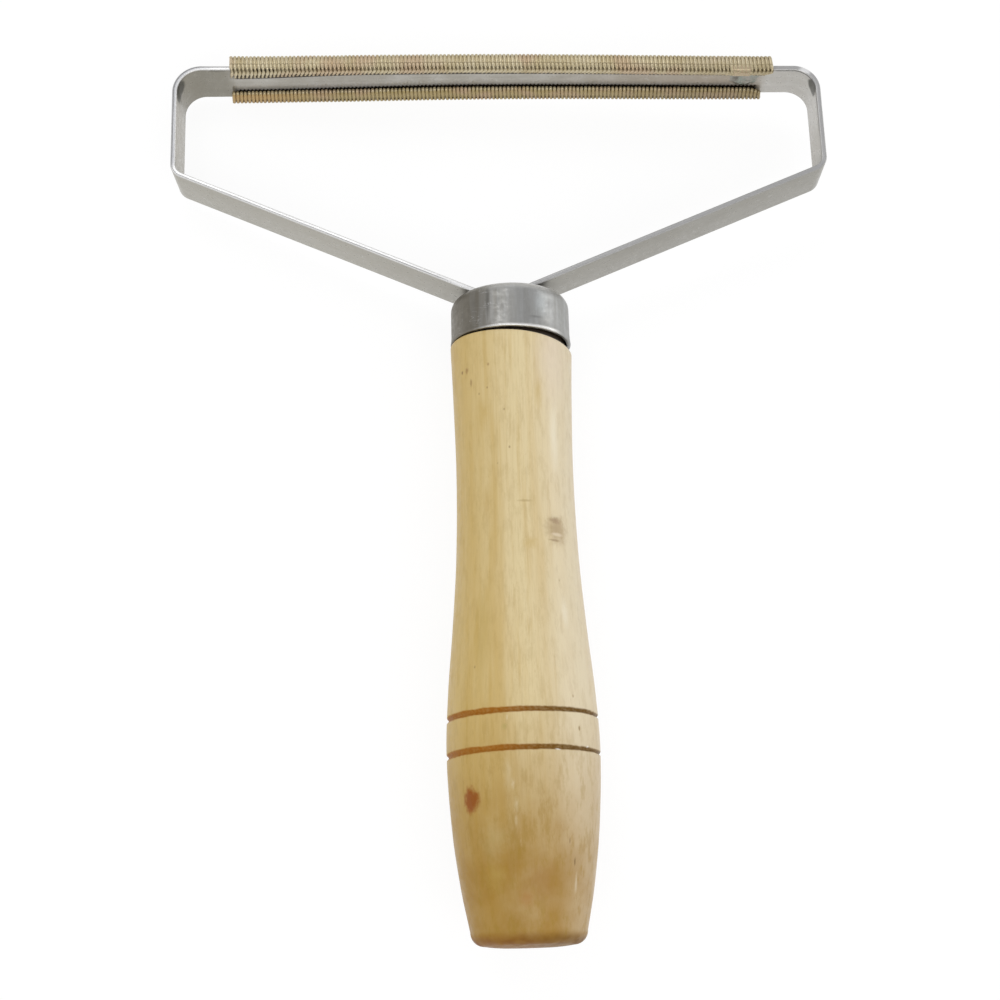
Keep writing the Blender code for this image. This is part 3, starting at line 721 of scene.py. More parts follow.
    def _under_wire(self, paint: Paint, across: Socket, depth: Socket, inside: Socket) -> None:
        """Lay painted light on the strip between the two lips, and painted shadow beneath them that follows
        their turns.

        Args:
            paint: The material's sheet.
            across: Place across the head.
            depth: Place across the strip.
            inside: Where the wire is wound.
        """
        low = self.lips[0]
        tooth = paint.maths("SINE", paint.maths("MULTIPLY", across, 2 * math.pi / self.pitch))
        drop = paint.maths("MULTIPLY_ADD", tooth, 0.28, paint.ramp(across, -66.0, -6.0, 1.25, 0.3))
        far = paint.fall(paint.maths("ADD", depth, drop), *self._around(low, 0.12))
        start = paint.ramp(across, -66.0, -30.0, *self.near_line)
        near = paint.ramp(paint.maths("SUBTRACT", depth, start), 0.0, 0.25)
        # Painted light on the strip next to the far lip.
        paint.lay(self.pale_tone_and_light, paint.fall(depth, low - 0.3, low + 2.2, 0.5), inside)
        # Painted shadow in the crevice under the far lip's tips and under the near lip's ends.
        paint.lay(self.shade_and_soil, paint.plus(far, near), inside)

    def _rim(self, paint: Paint, across: Socket, height: Socket) -> Socket:
        """Colour of the strip's narrow edges, with painted highlights and a painted dark reflection line.

        Args:
            paint: The material's sheet.
            across: Place across the head.
            height: Place along the tool.

        Returns:
            The colour.
        """
        offset = paint.split(paint.attribute("skin"))[0]
        # Painted highlight: white on the left edges, fading to grey on the right.
        rim = paint.mix(paint.ramp(across, -6.0, 10.0), self.edge_highlight, self.edge)
        leg = paint.times(paint.fall(across, -76.0, -66.0), paint.ramp(height, 177.5, 180.5))
        # On the left leg: a grey-blue band outside a painted white highlight.
        rim = paint.mix(leg, rim, paint.mix(paint.ramp(offset, -0.7, -0.3), self.edge_highlight, self.blue_edge))
        # A painted dark reflection line along the left edges.
        groove = paint.times(paint.ramp(offset, 0.1, 0.3), paint.fall(offset, 0.4, 0.6, 0.8),
                             paint.fall(across, -14.0, -9.0))
        rim = paint.mix(groove, rim, self.hairline)
        return paint.mix(self.glare.mask(paint), rim, self.glare.colour)


@dataclass(frozen=True)
class DrawnBrass(Finish):
    """Thin brass-washed wire: painted highlights on top, brown painted shade where it lies deep, and stains.
    """

    name = "drawn_brass"
    skin = Skin(metallic=0.55, gloss=(0.21, 0.41), cloud=(2.0, 3.0, 0.6), levels=(0.25, 0.75),
                waves=(1.5, 9.0, 0.3), bump=0.3, depth=0.06)
    base: Colour = (0.6, 0.52, 0.345)
    wire_highlight: Colour = (0.95, 0.87, 0.66)
    gold: Colour = (0.4, 0.3, 0.11)
    umber: Colour = (0.2, 0.13, 0.03)
    grime_and_shade: Colour = (0.1, 0.06, 0.02)
    rose: Colour = (0.52, 0.34, 0.23)
    copper: Colour = (0.55, 0.33, 0.12)
    blown_highlight: Colour = (0.86, 0.82, 0.72)
    # Height and half width of a painted dark reflection line along the near fold.
    reflection_line_height: float = -0.25
    reflection_line_half: float = 0.16

    def dress(self, paint: Paint) -> None:
        """Lay the wire's drifts of colour, the painted highlights on its tops, and the painted shade, stains
        and dark reflection line between its turns.

        Args:
            paint: The material's sheet.
        """
        across = paint.split(paint.place)[0]
        deep, turn, lip = paint.split(paint.attribute("wire"))
        crown, height, depth = paint.split(paint.attribute("fold"))
        by_turn = {"W": paint.maths("FLOOR", turn)}
        each = paint.node("ShaderNodeTexWhiteNoise", by_turn, noise_dimensions="1D").outputs["Value"]
        golden = paint.clouds((0.16, 4.0, 0.65), (0.4, 0.75), (0.0, 0.5))
        paint.lay(self.gold, paint.plus(golden, paint.times(lip, 0.9)))
        paint.lay(self.gold, paint.ramp(each, 0.6, 1.0, 0.0, 0.3))
        paint.lay(self.rose, paint.clouds((0.11, 2.0), (0.5, 0.68), (0.0, 0.5)))
        paint.lay(self.copper, paint.fall(across, -58.0, -40.0, 0.55), lip)
        # Painted highlight: the wires at the top right are painted pale, as if blown out.
        paint.lay(self.blown_highlight, paint.ramp(across, 38.0, 60.0, 0.0, 0.15), paint.ramp(height, -0.8, 0.8))
        paint.lay(self.umber, paint.ramp(across, 10.0, 60.0, 0.0, 0.55), lip)
        # Painted highlight on the wires, weaker on the far lip.
        paint.lay(self.wire_highlight, crown, paint.ramp(lip, 0.0, 1.0, 0.45, 0.15))
        paint.lay(self.umber, paint.ramp(across, 25.0, 60.0, 0.0, 0.22), paint.fall(lip, 0.0, 1.0))
        # Painted shade between the turns and at the bends, real stains, and a painted dark reflection line
        # along the near fold.
        stains = paint.clouds((0.9, 4.0, 0.7), (0.5, 0.8))
        off_reflection_line = paint.maths("ABSOLUTE", paint.maths("SUBTRACT", height, self.reflection_line_height))
        reflection_line = paint.times(paint.fall(off_reflection_line, self.reflection_line_half * 0.4, self.reflection_line_half),
                           paint.ramp(depth, 6.0, 6.6))
        faint = paint.clouds((0.06, 2.0), (0.35, 0.6), (0.15, 0.6))
        shade_and_soil = (paint.times(deep, 0.95), paint.times(stains, 0.25), paint.times(reflection_line, faint))
        paint.lay(self.grime_and_shade, paint.plus(*shade_and_soil))


@dataclass(frozen=True)
class SolderTin(Finish):
    """Dull solder with darker flux and a faint blue-green bloom."""

    name = "solder_tin"
    skin = Skin(metallic=0.9, gloss=(0.32, 0.55), cloud=(1.6, 3.0), levels=(0.3, 0.7),
                waves=(0.8, 4.0, 0.3), bump=0.5, depth=0.2)
    base: Colour = (0.36, 0.34, 0.3)
    soaked: Colour = (0.5, 0.4, 0.27)
    bloom: Colour = (0.29, 0.32, 0.28)
    flux: Spot = Spot((57.9, 203.6, 2.0), (1.3, 999.0, 2.6), (0.15, 0.13, 0.11), 0.8, 0.1, 1.0)

    def dress(self, paint: Paint) -> None:
        """Lay the bloom, the flux and the part that the wire has soaked up.

        Args:
            paint: The material's sheet.
        """
        paint.lay(self.bloom, paint.clouds((0.55, 3.0, 0.6), (0.4, 0.65)))
        paint.lay_all(self.flux)
        paint.lay(self.soaked, paint.ramp(paint.split(paint.place)[2], 4.8, 5.2))


def angles_round(sides: int) -> list[float]:
    """Angles of the vertices of a ring, in radians."""
    return [2 * math.pi * i / sides for i in range(sides)]


def spaced(span: Pair, count: int) -> list[float]:
    """Evenly spaced values from one number to another, both included."""
    return [span[0] + (span[1] - span[0]) * k / count for k in range(count + 1)]


def quarter_turn(steps: int) -> list[float]:
    """Angles of a quarter turn in equal steps, in radians."""
    return [0.5 * math.pi * k / steps for k in range(steps + 1)]


def clip(value: float) -> float:
    """Keep a number between 0 and 1."""
    return min(1.0, max(0.0, value))


def bridge_rings(bm: BMesh, rings: Sequence[Ring], closed: bool = False) -> None:
    """Make quads between each ring of vertices and the next.

    Args:
        bm: The mesh that is being built.
        rings: Rings of equal length.
        closed: True where the last ring joins the first. Otherwise both are filled.
    """
    pairs = list(zip(rings, rings[1:]))
    if closed:
        pairs.append((rings[-1], rings[0]))
    for first, second in pairs:
        for i in range(len(first)):
            j = (i + 1) % len(first)
            bm.faces.new((first[i], first[j], second[j], second[i]))
    if not closed:
        bm.faces.new(rings[0])
        bm.faces.new(rings[-1])


def mesh_from_bmesh(name: str, bm: BMesh, sharp_angle: float) -> bpy.types.Mesh:
    """Turn a bmesh into a mesh with its faces out.

    Args:
        name: The mesh's name.
        bm: The bmesh, which is freed.
        sharp_angle: Degrees past which an edge stays sharp.

    Returns:
        The mesh.
    """
    bmesh.ops.recalc_face_normals(bm, faces=bm.faces)
    mesh = bpy.data.meshes.new(name)
    bm.to_mesh(mesh)
    bm.free()
    mesh.shade_smooth()
    mesh.set_sharp_from_angle(angle=math.radians(sharp_angle))
    return mesh


def put_attribute(mesh: bpy.types.Mesh, name: str, values: np.ndarray) -> None:
    """Store three numbers for each vertex, for a material to read."""
    attribute = mesh.attributes.new(name, "FLOAT_VECTOR", "POINT")
    attribute.data.foreach_set("vector", values.astype(np.float32).ravel())


def link_object(name: str, mesh: bpy.types.Mesh, matrix: Matrix) -> bpy.types.Object:
    """Link a mesh to the scene.

    Args:
        name: The object's name.
        mesh: Its mesh.
        matrix: From the mesh's axes to the row frame.

    Returns:
        The object.
    """
    made = bpy.data.objects.new(name, mesh)
    bpy.context.scene.collection.objects.link(made)
    made.matrix_world = matrix
    return made


def set_piece(name: str, mesh: bpy.types.Mesh, matrix: Matrix,
              material: bpy.types.Material) -> bpy.types.Object:
    """Set a mesh in its place in the row frame, with its own axes kept as an attribute.

    Args:
        name: The piece's name.
        mesh: Its mesh, along the piece's own axes.
        matrix: From those axes to the row frame.
        material: Its finish.

    Returns:
        The object.
    """
    mesh.materials.clear()
    mesh.materials.append(material)
    put_attribute(mesh, "place", np.array([vertex.co for vertex in mesh.vertices]) / MM)
    mesh.transform(matrix)
    return link_object(name, mesh, Matrix.Identity(4))


class Piece:
    """What all pieces of the tool share: a name, a finish, and a mesh along their own axes."""

    name: ClassVar[str]
    finish: ClassVar[Finish]
    on_head: ClassVar[bool] = False
    place: ClassVar[RestPlace] = RestPlace()

    def mesh(self) -> bpy.types.Mesh:
        """Make the piece's mesh along its own axes, in metres."""
        raise NotImplementedError

    def build(self, effects: Effects) -> bpy.types.Object:
        """Make the piece, dress it and set it in its place."""
        matrix = self.place.head() if self.on_head else self.place.tool()
        return set_piece(self.name, self.mesh(), matrix, self.finish.make(effects))


@dataclass
class TurnedHandle(Piece):
    """Turned handle with two scorched grooves, a tenon and a slot for the strip's ends."""

    name = "turned_handle"
    finish = VarnishedWood()
    stations: tuple[Pair, ...] = (
        (3.4, 12.55), (12.0, 14.25), (24.0, 15.85), (40.5, 16.8), (54.0, 16.25), (68.0, 15.0),
        (84.0, 13.85), (104.0, 13.35), (122.0, 13.7), (133.6, 14.1))
    sides: int = 176
    ring_step: float = 0.9
    butt_flat: float = 6.0
    butt_dome: float = 0.4
    butt_edge: float = 2.9
    butt_steps: int = 12
    inset: float = 0.04
    grooves: Pair = (40.1, 48.1)
    groove_width: float = 1.45
    groove_depth: float = 0.5
    groove_reach: float = 1.5
    groove_rings: int = 22
    shoulder: float = 134.2
    shoulder_slope: float = -0.065
    shoulder_wear: float = 0.7
    slope_starts: float = 124.0
    tenon_radius: float = 12.5
    tenon_base: float = 115.0
    tenon_end: float = 143.4
    butt_stain: float = 7.0
    tenon_chamfer: float = 0.8
    slot: tuple[float, float, float, float] = (3.3, 12.6, 115.9, 145.4)
    unevenness: float = 0.1
    wave_round: float = 1.6
    wave_along: float = 28.0

    def radius(self, distance: float) -> float:
        """Radius of the smooth curve through the stations.

        Args:
            distance: Millimetres from the butt.

        Returns:
            The radius in millimetres.
        """
        stations = self.stations
        last = len(stations) - 1
        i = max(k for k in range(last) if stations[k][0] <= distance or k == 0)
        slopes = []
        for k in (i, i + 1):
            before, after = stations[max(k - 1, 0)], stations[min(k + 1, last)]
            slopes.append((after[1] - before[1]) / (after[0] - before[0]))
        (x0, y0), (x1, y1) = stations[i], stations[i + 1]
        span = x1 - x0
        t = (distance - x0) / span
        return ((1 + 2 * t) * (1 - t) ** 2 * y0 + t * (1 - t) ** 2 * span * slopes[0]
                + t * t * (3 - 2 * t) * y1 - t * t * (1 - t) * span * slopes[1])

    def ring_distances(self) -> list[float]:
        """Place the rings along the body, close together at the grooves.

        Returns:
            Their distances from the butt.
        """
        body = (self.stations[0][0], self.stations[-1][0])
        plain = spaced(body, round((body[1] - body[0]) / self.ring_step))
        kept = [d for d in plain if all(abs(d - at) > self.groove_reach for at in self.grooves)]
        for at in self.grooves:
            kept += spaced((at - self.groove_reach, at + self.groove_reach), self.groove_rings)
        return sorted(kept)

    def groove_share(self, distance: float, angle: float) -> Pair:
        """How deep into a groove a point lies, and how scorched it is.

        Args:
            distance: Millimetres from the butt.
            angle: Radians round the handle from +X towards +Z.

        Returns:
            Share of the groove's depth, and share of its scorch.
        """
        depth, scorch = 0.0, 0.0
        for at in self.grooves:
            round_it = Vector((2.2 * math.cos(angle), 2.2 * math.sin(angle), at))
            ragged = Vector((30.0 * math.cos(angle), 30.0 * math.sin(angle), at))
            centre = at + 0.16 * noise.noise(round_it) + 0.05 * noise.noise(ragged)
            side = 0.5 - 0.5 * math.cos(angle)
            half = self.groove_width * (0.31 + 0.2 * side + 0.07 * noise.noise(round_it * 1.7))
            away = abs(distance - centre)
            depth = max(depth, 1.0 - (away / half) ** 1.5 if away < half else 0.0)
            edge = half + 0.1 + 0.12 * noise.noise(ragged * 1.3)
            scorch = max(scorch, clip((edge - away) / 0.22))
        return depth, scorch

    def slack(self, distance: float, angle: float) -> float:
        """How far the turned wood lies below its plain round at a place, in slow waves."""
        place = Vector((self.wave_round * math.cos(angle), distance / self.wave_along,
                        self.wave_round * math.sin(angle)))
        return self.unevenness * (0.5 + 0.5 * noise.noise(place))

    def surface(self, distance: float, angle: float) -> float:
        """Radius of the body at a distance from the butt and an angle round the handle."""
        deep = self.groove_depth * self.groove_share(distance, angle)[0]
        return self.radius(distance) - self.inset - self.slack(distance, angle) - deep

    def mesh(self) -> bpy.types.Mesh:
        """Make the handle.

        Returns:
            The mesh, with what marks the wood as an attribute.
        """
        bm = bmesh.new()
        rings = self._butt_rings(bm)
        for distance in self.ring_distances():
            share = max(0.0, (distance - self.slope_starts) / (self.shoulder - self.slope_starts))
            rings.append(self._ring(bm, distance, lambda angle: self.surface(distance, angle), share))
        bridge_rings(bm, rings + self._tenon_rings(bm))
        blank = link_object("handle_blank", mesh_from_bmesh(self.name, bm, 50.0), self.place.tool())
        cut = self._cut_slot(blank)
        bpy.data.objects.remove(blank)
        put_attribute(cut, "scorch", np.array([self.tint(vertex.co / MM) for vertex in cut.vertices]))
        return cut

    def tint(self, point: Vector) -> Triple:
        """What marks the wood at a point.

        Args:
            point: The point along the tool's axes.

        Returns:
            Share of scorch, nearness to the butt, and 1 where the wood is bare on the tenon or in the slot,
            which is painted near black as the gap's shade.
        """
        radius = math.hypot(point.x, point.z)
        bare = point.y > self.tenon_base and radius < self.tenon_radius + 0.2
        scorch = self.groove_share(point.y, math.atan2(point.z, point.x))[1] if not bare else 0.0
        return scorch, max(0.0, 1.0 - point.y / self.butt_stain), 1.0 if bare else 0.0

    def _ring(self, bm: BMesh, distance: float, radius: Callable[[float], float],
              share: float = 0.0) -> Ring:
        """Add a ring of vertices.

        Args:
            bm: The mesh that is being built.
            distance: Millimetres from the butt.
            radius: Gives the radius at an angle round the tool's axis.
            share: How much of the shoulder's slope and wear it takes.

        Returns:
            The ring.
        """
        ring = []
        for angle in angles_round(self.sides):
            out, right = radius(angle), math.cos(angle)
            worn = share ** 3 * self.shoulder_wear * max(right, 0.0) ** 2
            y = distance + share * self.shoulder_slope * out * right - worn
            ring.append(bm.verts.new(Vector((out * right, y, out * math.sin(angle))) * MM))
        return ring

    def _butt_rings(self, bm: BMesh) -> list[Ring]:
        """Rings of the flat middle, low dome and rounded edge of the butt.

        Args:
            bm: The mesh that is being built.

        Returns:
            The rings, from the middle out.
        """
        edge_end, body_radius = self.stations[0][0], self.radius(self.stations[0][0]) - self.inset
        outline = [(0.0, 1.5), (0.0, 3.5), (0.0, self.butt_flat), (0.09, 7.2), (0.22, 8.4)]
        for angle in quarter_turn(self.butt_steps)[:-1]:
            outline.append((self.butt_dome + (edge_end - self.butt_dome) * (1 - math.cos(angle)),
                            body_radius - self.butt_edge + self.butt_edge * math.sin(angle)))
        rings = []
        for distance, radius in outline:
            share = radius / body_radius
            rings.append(self._ring(bm, distance, lambda angle: radius - self.slack(distance, angle) * share))
        return rings

    def _tenon_rings(self, bm: BMesh) -> list[Ring]:
        """Rings of the sloping shoulder and of the tenon.

        Args:
            bm: The mesh that is being built.

        Returns:
            The rings, from the shoulder up.
        """
        top = self.stations[-1][1]
        outline = [(self.shoulder - 0.35, top - 0.14, 1.0), (self.shoulder - 0.12, top - 0.32, 1.0),
                   (self.shoulder, top - 0.62, 1.0), (self.shoulder, self.tenon_radius, 1.0),
                   (self.tenon_end - self.tenon_chamfer, self.tenon_radius, 0.0),
                   (self.tenon_end, self.tenon_radius - self.tenon_chamfer, 0.0)]
        return [self._ring(bm, distance, lambda _: radius, share) for distance, radius, share in outline]

    def _cut_slot(self, blank: bpy.types.Object) -> bpy.types.Mesh:
        """Saw the slot for the strip's two ends out of the tenon.

        Args:
            blank: The handle without its slot.

        Returns:
            The handle's mesh with the slot.
        """
        width, depth, bottom, top = self.slot
        bm = bmesh.new()
        scale = Matrix.Diagonal(Vector((width * MM, (top - bottom) * MM, depth * MM, 1.0)))
        middle = Matrix.Translation(Vector((0.0, (top + bottom) / 2, 0.0)) * MM)
        bmesh.ops.create_cube(bm, size=1.0, matrix=middle @ scale)
        saw = link_object("slot_saw", mesh_from_bmesh("slot_saw", bm, 30.0), self.place.head())
        cut = blank.modifiers.new("slot", "BOOLEAN")
        cut.object = saw
        bpy.context.view_layer.update()
        sawn = blank.evaluated_get(bpy.context.evaluated_depsgraph_get())
        mesh = bpy.data.meshes.new_from_object(sawn)
        bpy.data.objects.remove(saw)
        return mesh


@dataclass
class DrawnFerrule(Piece):
    """Drawn cap round the tenon, with a flared foot and an open mouth."""

    name = "drawn_ferrule"
    finish = DrawnSteel()
    start: float = 135.0
    end: float = 146.4
    outside: float = 13.75
    flare: float = 0.2
    flare_reach: Pair = (0.6, 2.2)
    wall: float = 0.85
    shoulder: float = 2.9
    shoulder_steps: int = 14
    slope: float = -0.02
    sides: int = 176
    foot_round: float = 0.42
    foot_steps: int = 6
    rim_ease: float = 0.25
    mouth_ease: float = 0.2
    dents: float = 0.05
    dent_size: Pair = (1.4, 6.0)

    def section(self) -> list[Triple]:
        """Draw the closed section, from the rolled foot up the outside and down the inside.

        Returns:
            Points as distance, radius and share of the foot's slope.
        """
        foot, inner, inside = self.outside + self.flare, self.outside - self.wall, self.shoulder - self.wall
        centre, bend = self.end - self.shoulder, self.outside - self.shoulder
        points = [(self.start + self.foot_round * (1 - math.sin(turn)),
                   foot - self.foot_round * (1 - math.cos(turn)), 1.0)
                  for turn in reversed(quarter_turn(self.foot_steps))]
        first, length = self.flare_reach
        points += [(self.start + first + length * t, self.outside + self.flare * (1 - t) ** 2 * 0.8, 1.0 - t)
                   for t in spaced((0.0, 1.0), 4)]
        points += [(centre + self.shoulder * math.sin(turn), bend + self.shoulder * math.cos(turn), 0.0)
                   for turn in quarter_turn(self.shoulder_steps)]
        mouth = bend - self.mouth_ease
        points += [(self.end - self.mouth_ease, mouth, 0.0),
                   (self.end - self.wall + self.mouth_ease, mouth, 0.0)]
        points += [(centre + inside * math.sin(turn), bend + inside * math.cos(turn), 0.0)
                   for turn in reversed(quarter_turn(self.shoulder_steps))]
        return points + [(self.start + self.rim_ease, inner, 1.0), (self.start, inner + self.rim_ease, 1.0)]

    def mesh(self) -> bpy.types.Mesh:
        """Make the ferrule.

        Returns:
            The mesh.
        """
        bm = bmesh.new()
        around, along = self.dent_size
        rings = []
        for distance, radius, share in self.section():
            ring = []
            for angle in angles_round(self.sides):
                dent = Vector((around * math.cos(angle), distance / along, around * math.sin(angle)))
                worn = radius - self.dents * (0.5 + 0.5 * noise.noise(dent))
                x = worn * math.cos(angle)
                point = Vector((x, distance + share * self.slope * x, worn * math.sin(angle)))
                ring.append(bm.verts.new(point * MM))
            rings.append(ring)
        bridge_rings(bm, rings, closed=True)
        return mesh_from_bmesh(self.name, bm, 40.0)


@dataclass(frozen=True)
class Side:
    """One side of the bent frame: its outer corners, and how far up its arm meets the other one."""

    low: Pair
    top: Pair
    meets: float


@dataclass
class BentStrap(Piece):
    """One steel strip bent round to carry the wire, its two ends side by side in the handle.

    The frame isn't quite true: its sides differ a little, and its top bar slopes and is twisted.
    """

    name = "bent_strap"
    finish = RolledSteel()
    on_head = True
    width: float = 12.0
    thick: float = 1.2
    edge_round: float = 0.3
    left: Side = Side((-77.15, 177.25), (-77.75, 205.25), 143.95)
    right: Side = Side((78.0, 178.0), (77.35, 204.75), 144.2)
    bow: float = 0.6
    twist: float = math.radians(3.1)
    reach: float = 71.7
    tang_gap: float = 0.3
    tang_length: float = 28.0
    top_bend: float = 5.9
    lower_bend: float = 3.2
    tang_bend: float = 2.1
    bend_step: float = math.radians(4.0)
    bar_stations: int = 60
    longest: float = 3.0
    section_steps: int = 5
    other_face: float = 14.0

    def middle(self, x: float) -> float:
        """Height of the top bar's centre line, with its slope and bow.

        Args:
            x: Place across the head.

        Returns:
            The height along the tool.
        """
        (x0, y0), (x1, y1) = self.left.top, self.right.top
        bow = self.bow * math.cos(0.5 * math.pi * x / self.reach) ** 2 if abs(x) < self.reach else 0.0
        return y0 + (y1 - y0) * (x - x0) / (x1 - x0) - self.thick / 2 + bow

    def turned(self, x: float) -> float:
        """How far the top bar is twisted about its length at a place across the head."""
        return -self.twist * x / self.reach

    def on_bar(self, x: float, height: float, depth: float) -> Vector:
        """A point near the top bar.

        Args:
            x: Place across the head.
            height: Height off the bar's centre line.
            depth: Depth off it, towards the face that lies up.

        Returns:
            The point in the head's axes.
        """
        sine, cosine = math.sin(self.turned(x)), math.cos(self.turned(x))
        return Vector((x, self.middle(x) + height * cosine + depth * sine, depth * cosine - height * sine))

    def corners(self, side: Side) -> list[Triple]:
        """Corners of one side's centre line.

        Args:
            side: Which side.

        Returns:
            Each corner's x, y and bend radius, from the cut end up to the top bar.
        """
        half = self.thick / 2
        way = math.copysign(1.0, side.low[0])
        slope = (side.low[1] - side.meets) / abs(side.low[0])
        start = side.meets + half * math.hypot(1.0, slope)
        tang, leg = half + self.tang_gap / 2, abs(side.low[0]) - half
        return [(way * tang, self.right.meets - self.tang_length, 0.0),
                (way * tang, start + slope * tang, self.tang_bend),
                (way * leg, start + slope * leg, self.lower_bend),
                (side.top[0] - way * half, side.top[1] - half, self.top_bend)]

    def bend(self, corners: Sequence[Triple], i: int) -> list[Vector]:
        """Points round one corner, from the straight before it to the straight after it.

        Args:
            corners: All the corners.
            i: Which corner.

        Returns:
            The points, or the corner itself where it has no radius.
        """
        here, radius = Vector(corners[i][:2]), corners[i][2]
        if radius == 0.0:
            return [here]
        before = (Vector(corners[i - 1][:2]) - here).normalized()
        after = (Vector(corners[i + 1][:2]) - here).normalized()
        half_angle = before.angle(after) / 2
        centre = here + (before + after).normalized() * (radius / math.sin(half_angle))
        start = here + before * (radius / math.tan(half_angle)) - centre
        turn = math.pi - 2 * half_angle
        side = 1.0 if before.x * after.y - before.y * after.x < 0 else -1.0
        steps = max(4, math.ceil(turn / self.bend_step))
        return [centre + Matrix.Rotation(side * turn * k / steps, 2) @ start for k in range(steps + 1)]

    def path(self) -> list[tuple[Vector, float]]:
        """Follow the centre line from one cut end to the other.

        Returns:
            Points, each with the strip's twist there.
        """
        corners = self.corners(self.left) + self.corners(self.right)[::-1]
        bends = [self.bend(corners, i) for i in range(len(corners))]
        middle = len(bends) // 2
        into, out = bends[middle - 1], bends[middle]
        start, end = into[-1].x, out[0].x
        places = [(point, 0.0) for bend in bends[:middle - 1] for point in bend]
        places += [(point, self.turned(start) * k / (len(into) - 1)) for k, point in enumerate(into)]
        for k in range(1, self.bar_stations):
            x = start + (end - start) * k / self.bar_stations
            places.append((Vector((x, self.middle(x))), self.turned(x)))
        places += [(point, self.turned(end) * (1 - k / (len(out) - 1))) for k, point in enumerate(out)]
        places += [(point, 0.0) for bend in bends[middle + 1:] for point in bend]
        return self._even(places)

    def _even(self, places: list[tuple[Vector, float]]) -> list[tuple[Vector, float]]:
        """Add places so that no stretch is longer than a few millimetres.

        Args:
            places: Points with their twists.

        Returns:
            The same with more between them.
        """
        made = [places[0]]
        for (before, first), (after, second) in zip(places, places[1:]):
            steps = max(1, math.ceil((after - before).length / self.longest))
            made += [(before.lerp(after, k / steps), first + (second - first) * k / steps)
                     for k in range(1, steps + 1)]
        return made

    def section(self) -> list[Triple]:
        """Round the section's corners.

        Returns:
            Points as offset out, offset across and share of edge.
        """
        points = []
        half, wide, ease = self.thick / 2, self.width / 2, self.edge_round
        for sx, sz, first in ((1, 1, 0), (-1, 1, 1), (-1, -1, 2), (1, -1, 3)):
            for angle in quarter_turn(self.section_steps):
                turn = 0.5 * math.pi * first + angle
                points.append((sx * (half - ease) + ease * math.cos(turn),
                               sz * (wide - ease) + ease * math.sin(turn), abs(math.sin(turn))))
        return points

    def mesh(self) -> bpy.types.Mesh:
        """Make the strap.

        Returns:
            The mesh, with the place along the strip and across its section as attributes.
        """
        path, section = self.path(), self.section()
        last = len(path) - 1
        bm = bmesh.new()
        rings, run, skin, length = [], [], [], 0.0
        for i, (point, twist) in enumerate(path):
            before, after = path[max(i - 1, 0)][0], path[min(i + 1, last)][0]
            into = (point - before).normalized() if i else (after - point).normalized()
            out = (after - point).normalized() if i < last else into
            length += (point - before).length
            along = (into + out).normalized()
            across = Vector((-along.y, along.x)) / along.dot(out)
            ring = []
            for n, z, edge in section:
                away = n * math.cos(twist) + z * math.sin(twist)
                deep = z * math.cos(twist) - n * math.sin(twist)
                ring.append(bm.verts.new(Vector((*(point + across * away), deep)) * MM))
                run.append((length, z + self.other_face * (n > 0), edge))
                skin.append((2.0 * n / self.thick, edge, 0.0))
            rings.append(ring)
        bridge_rings(bm, rings)
        mesh = mesh_from_bmesh(self.name, bm, 30.0)
        put_attribute(mesh, "run", np.array(run))
        put_attribute(mesh, "skin", np.array(skin))
        return mesh


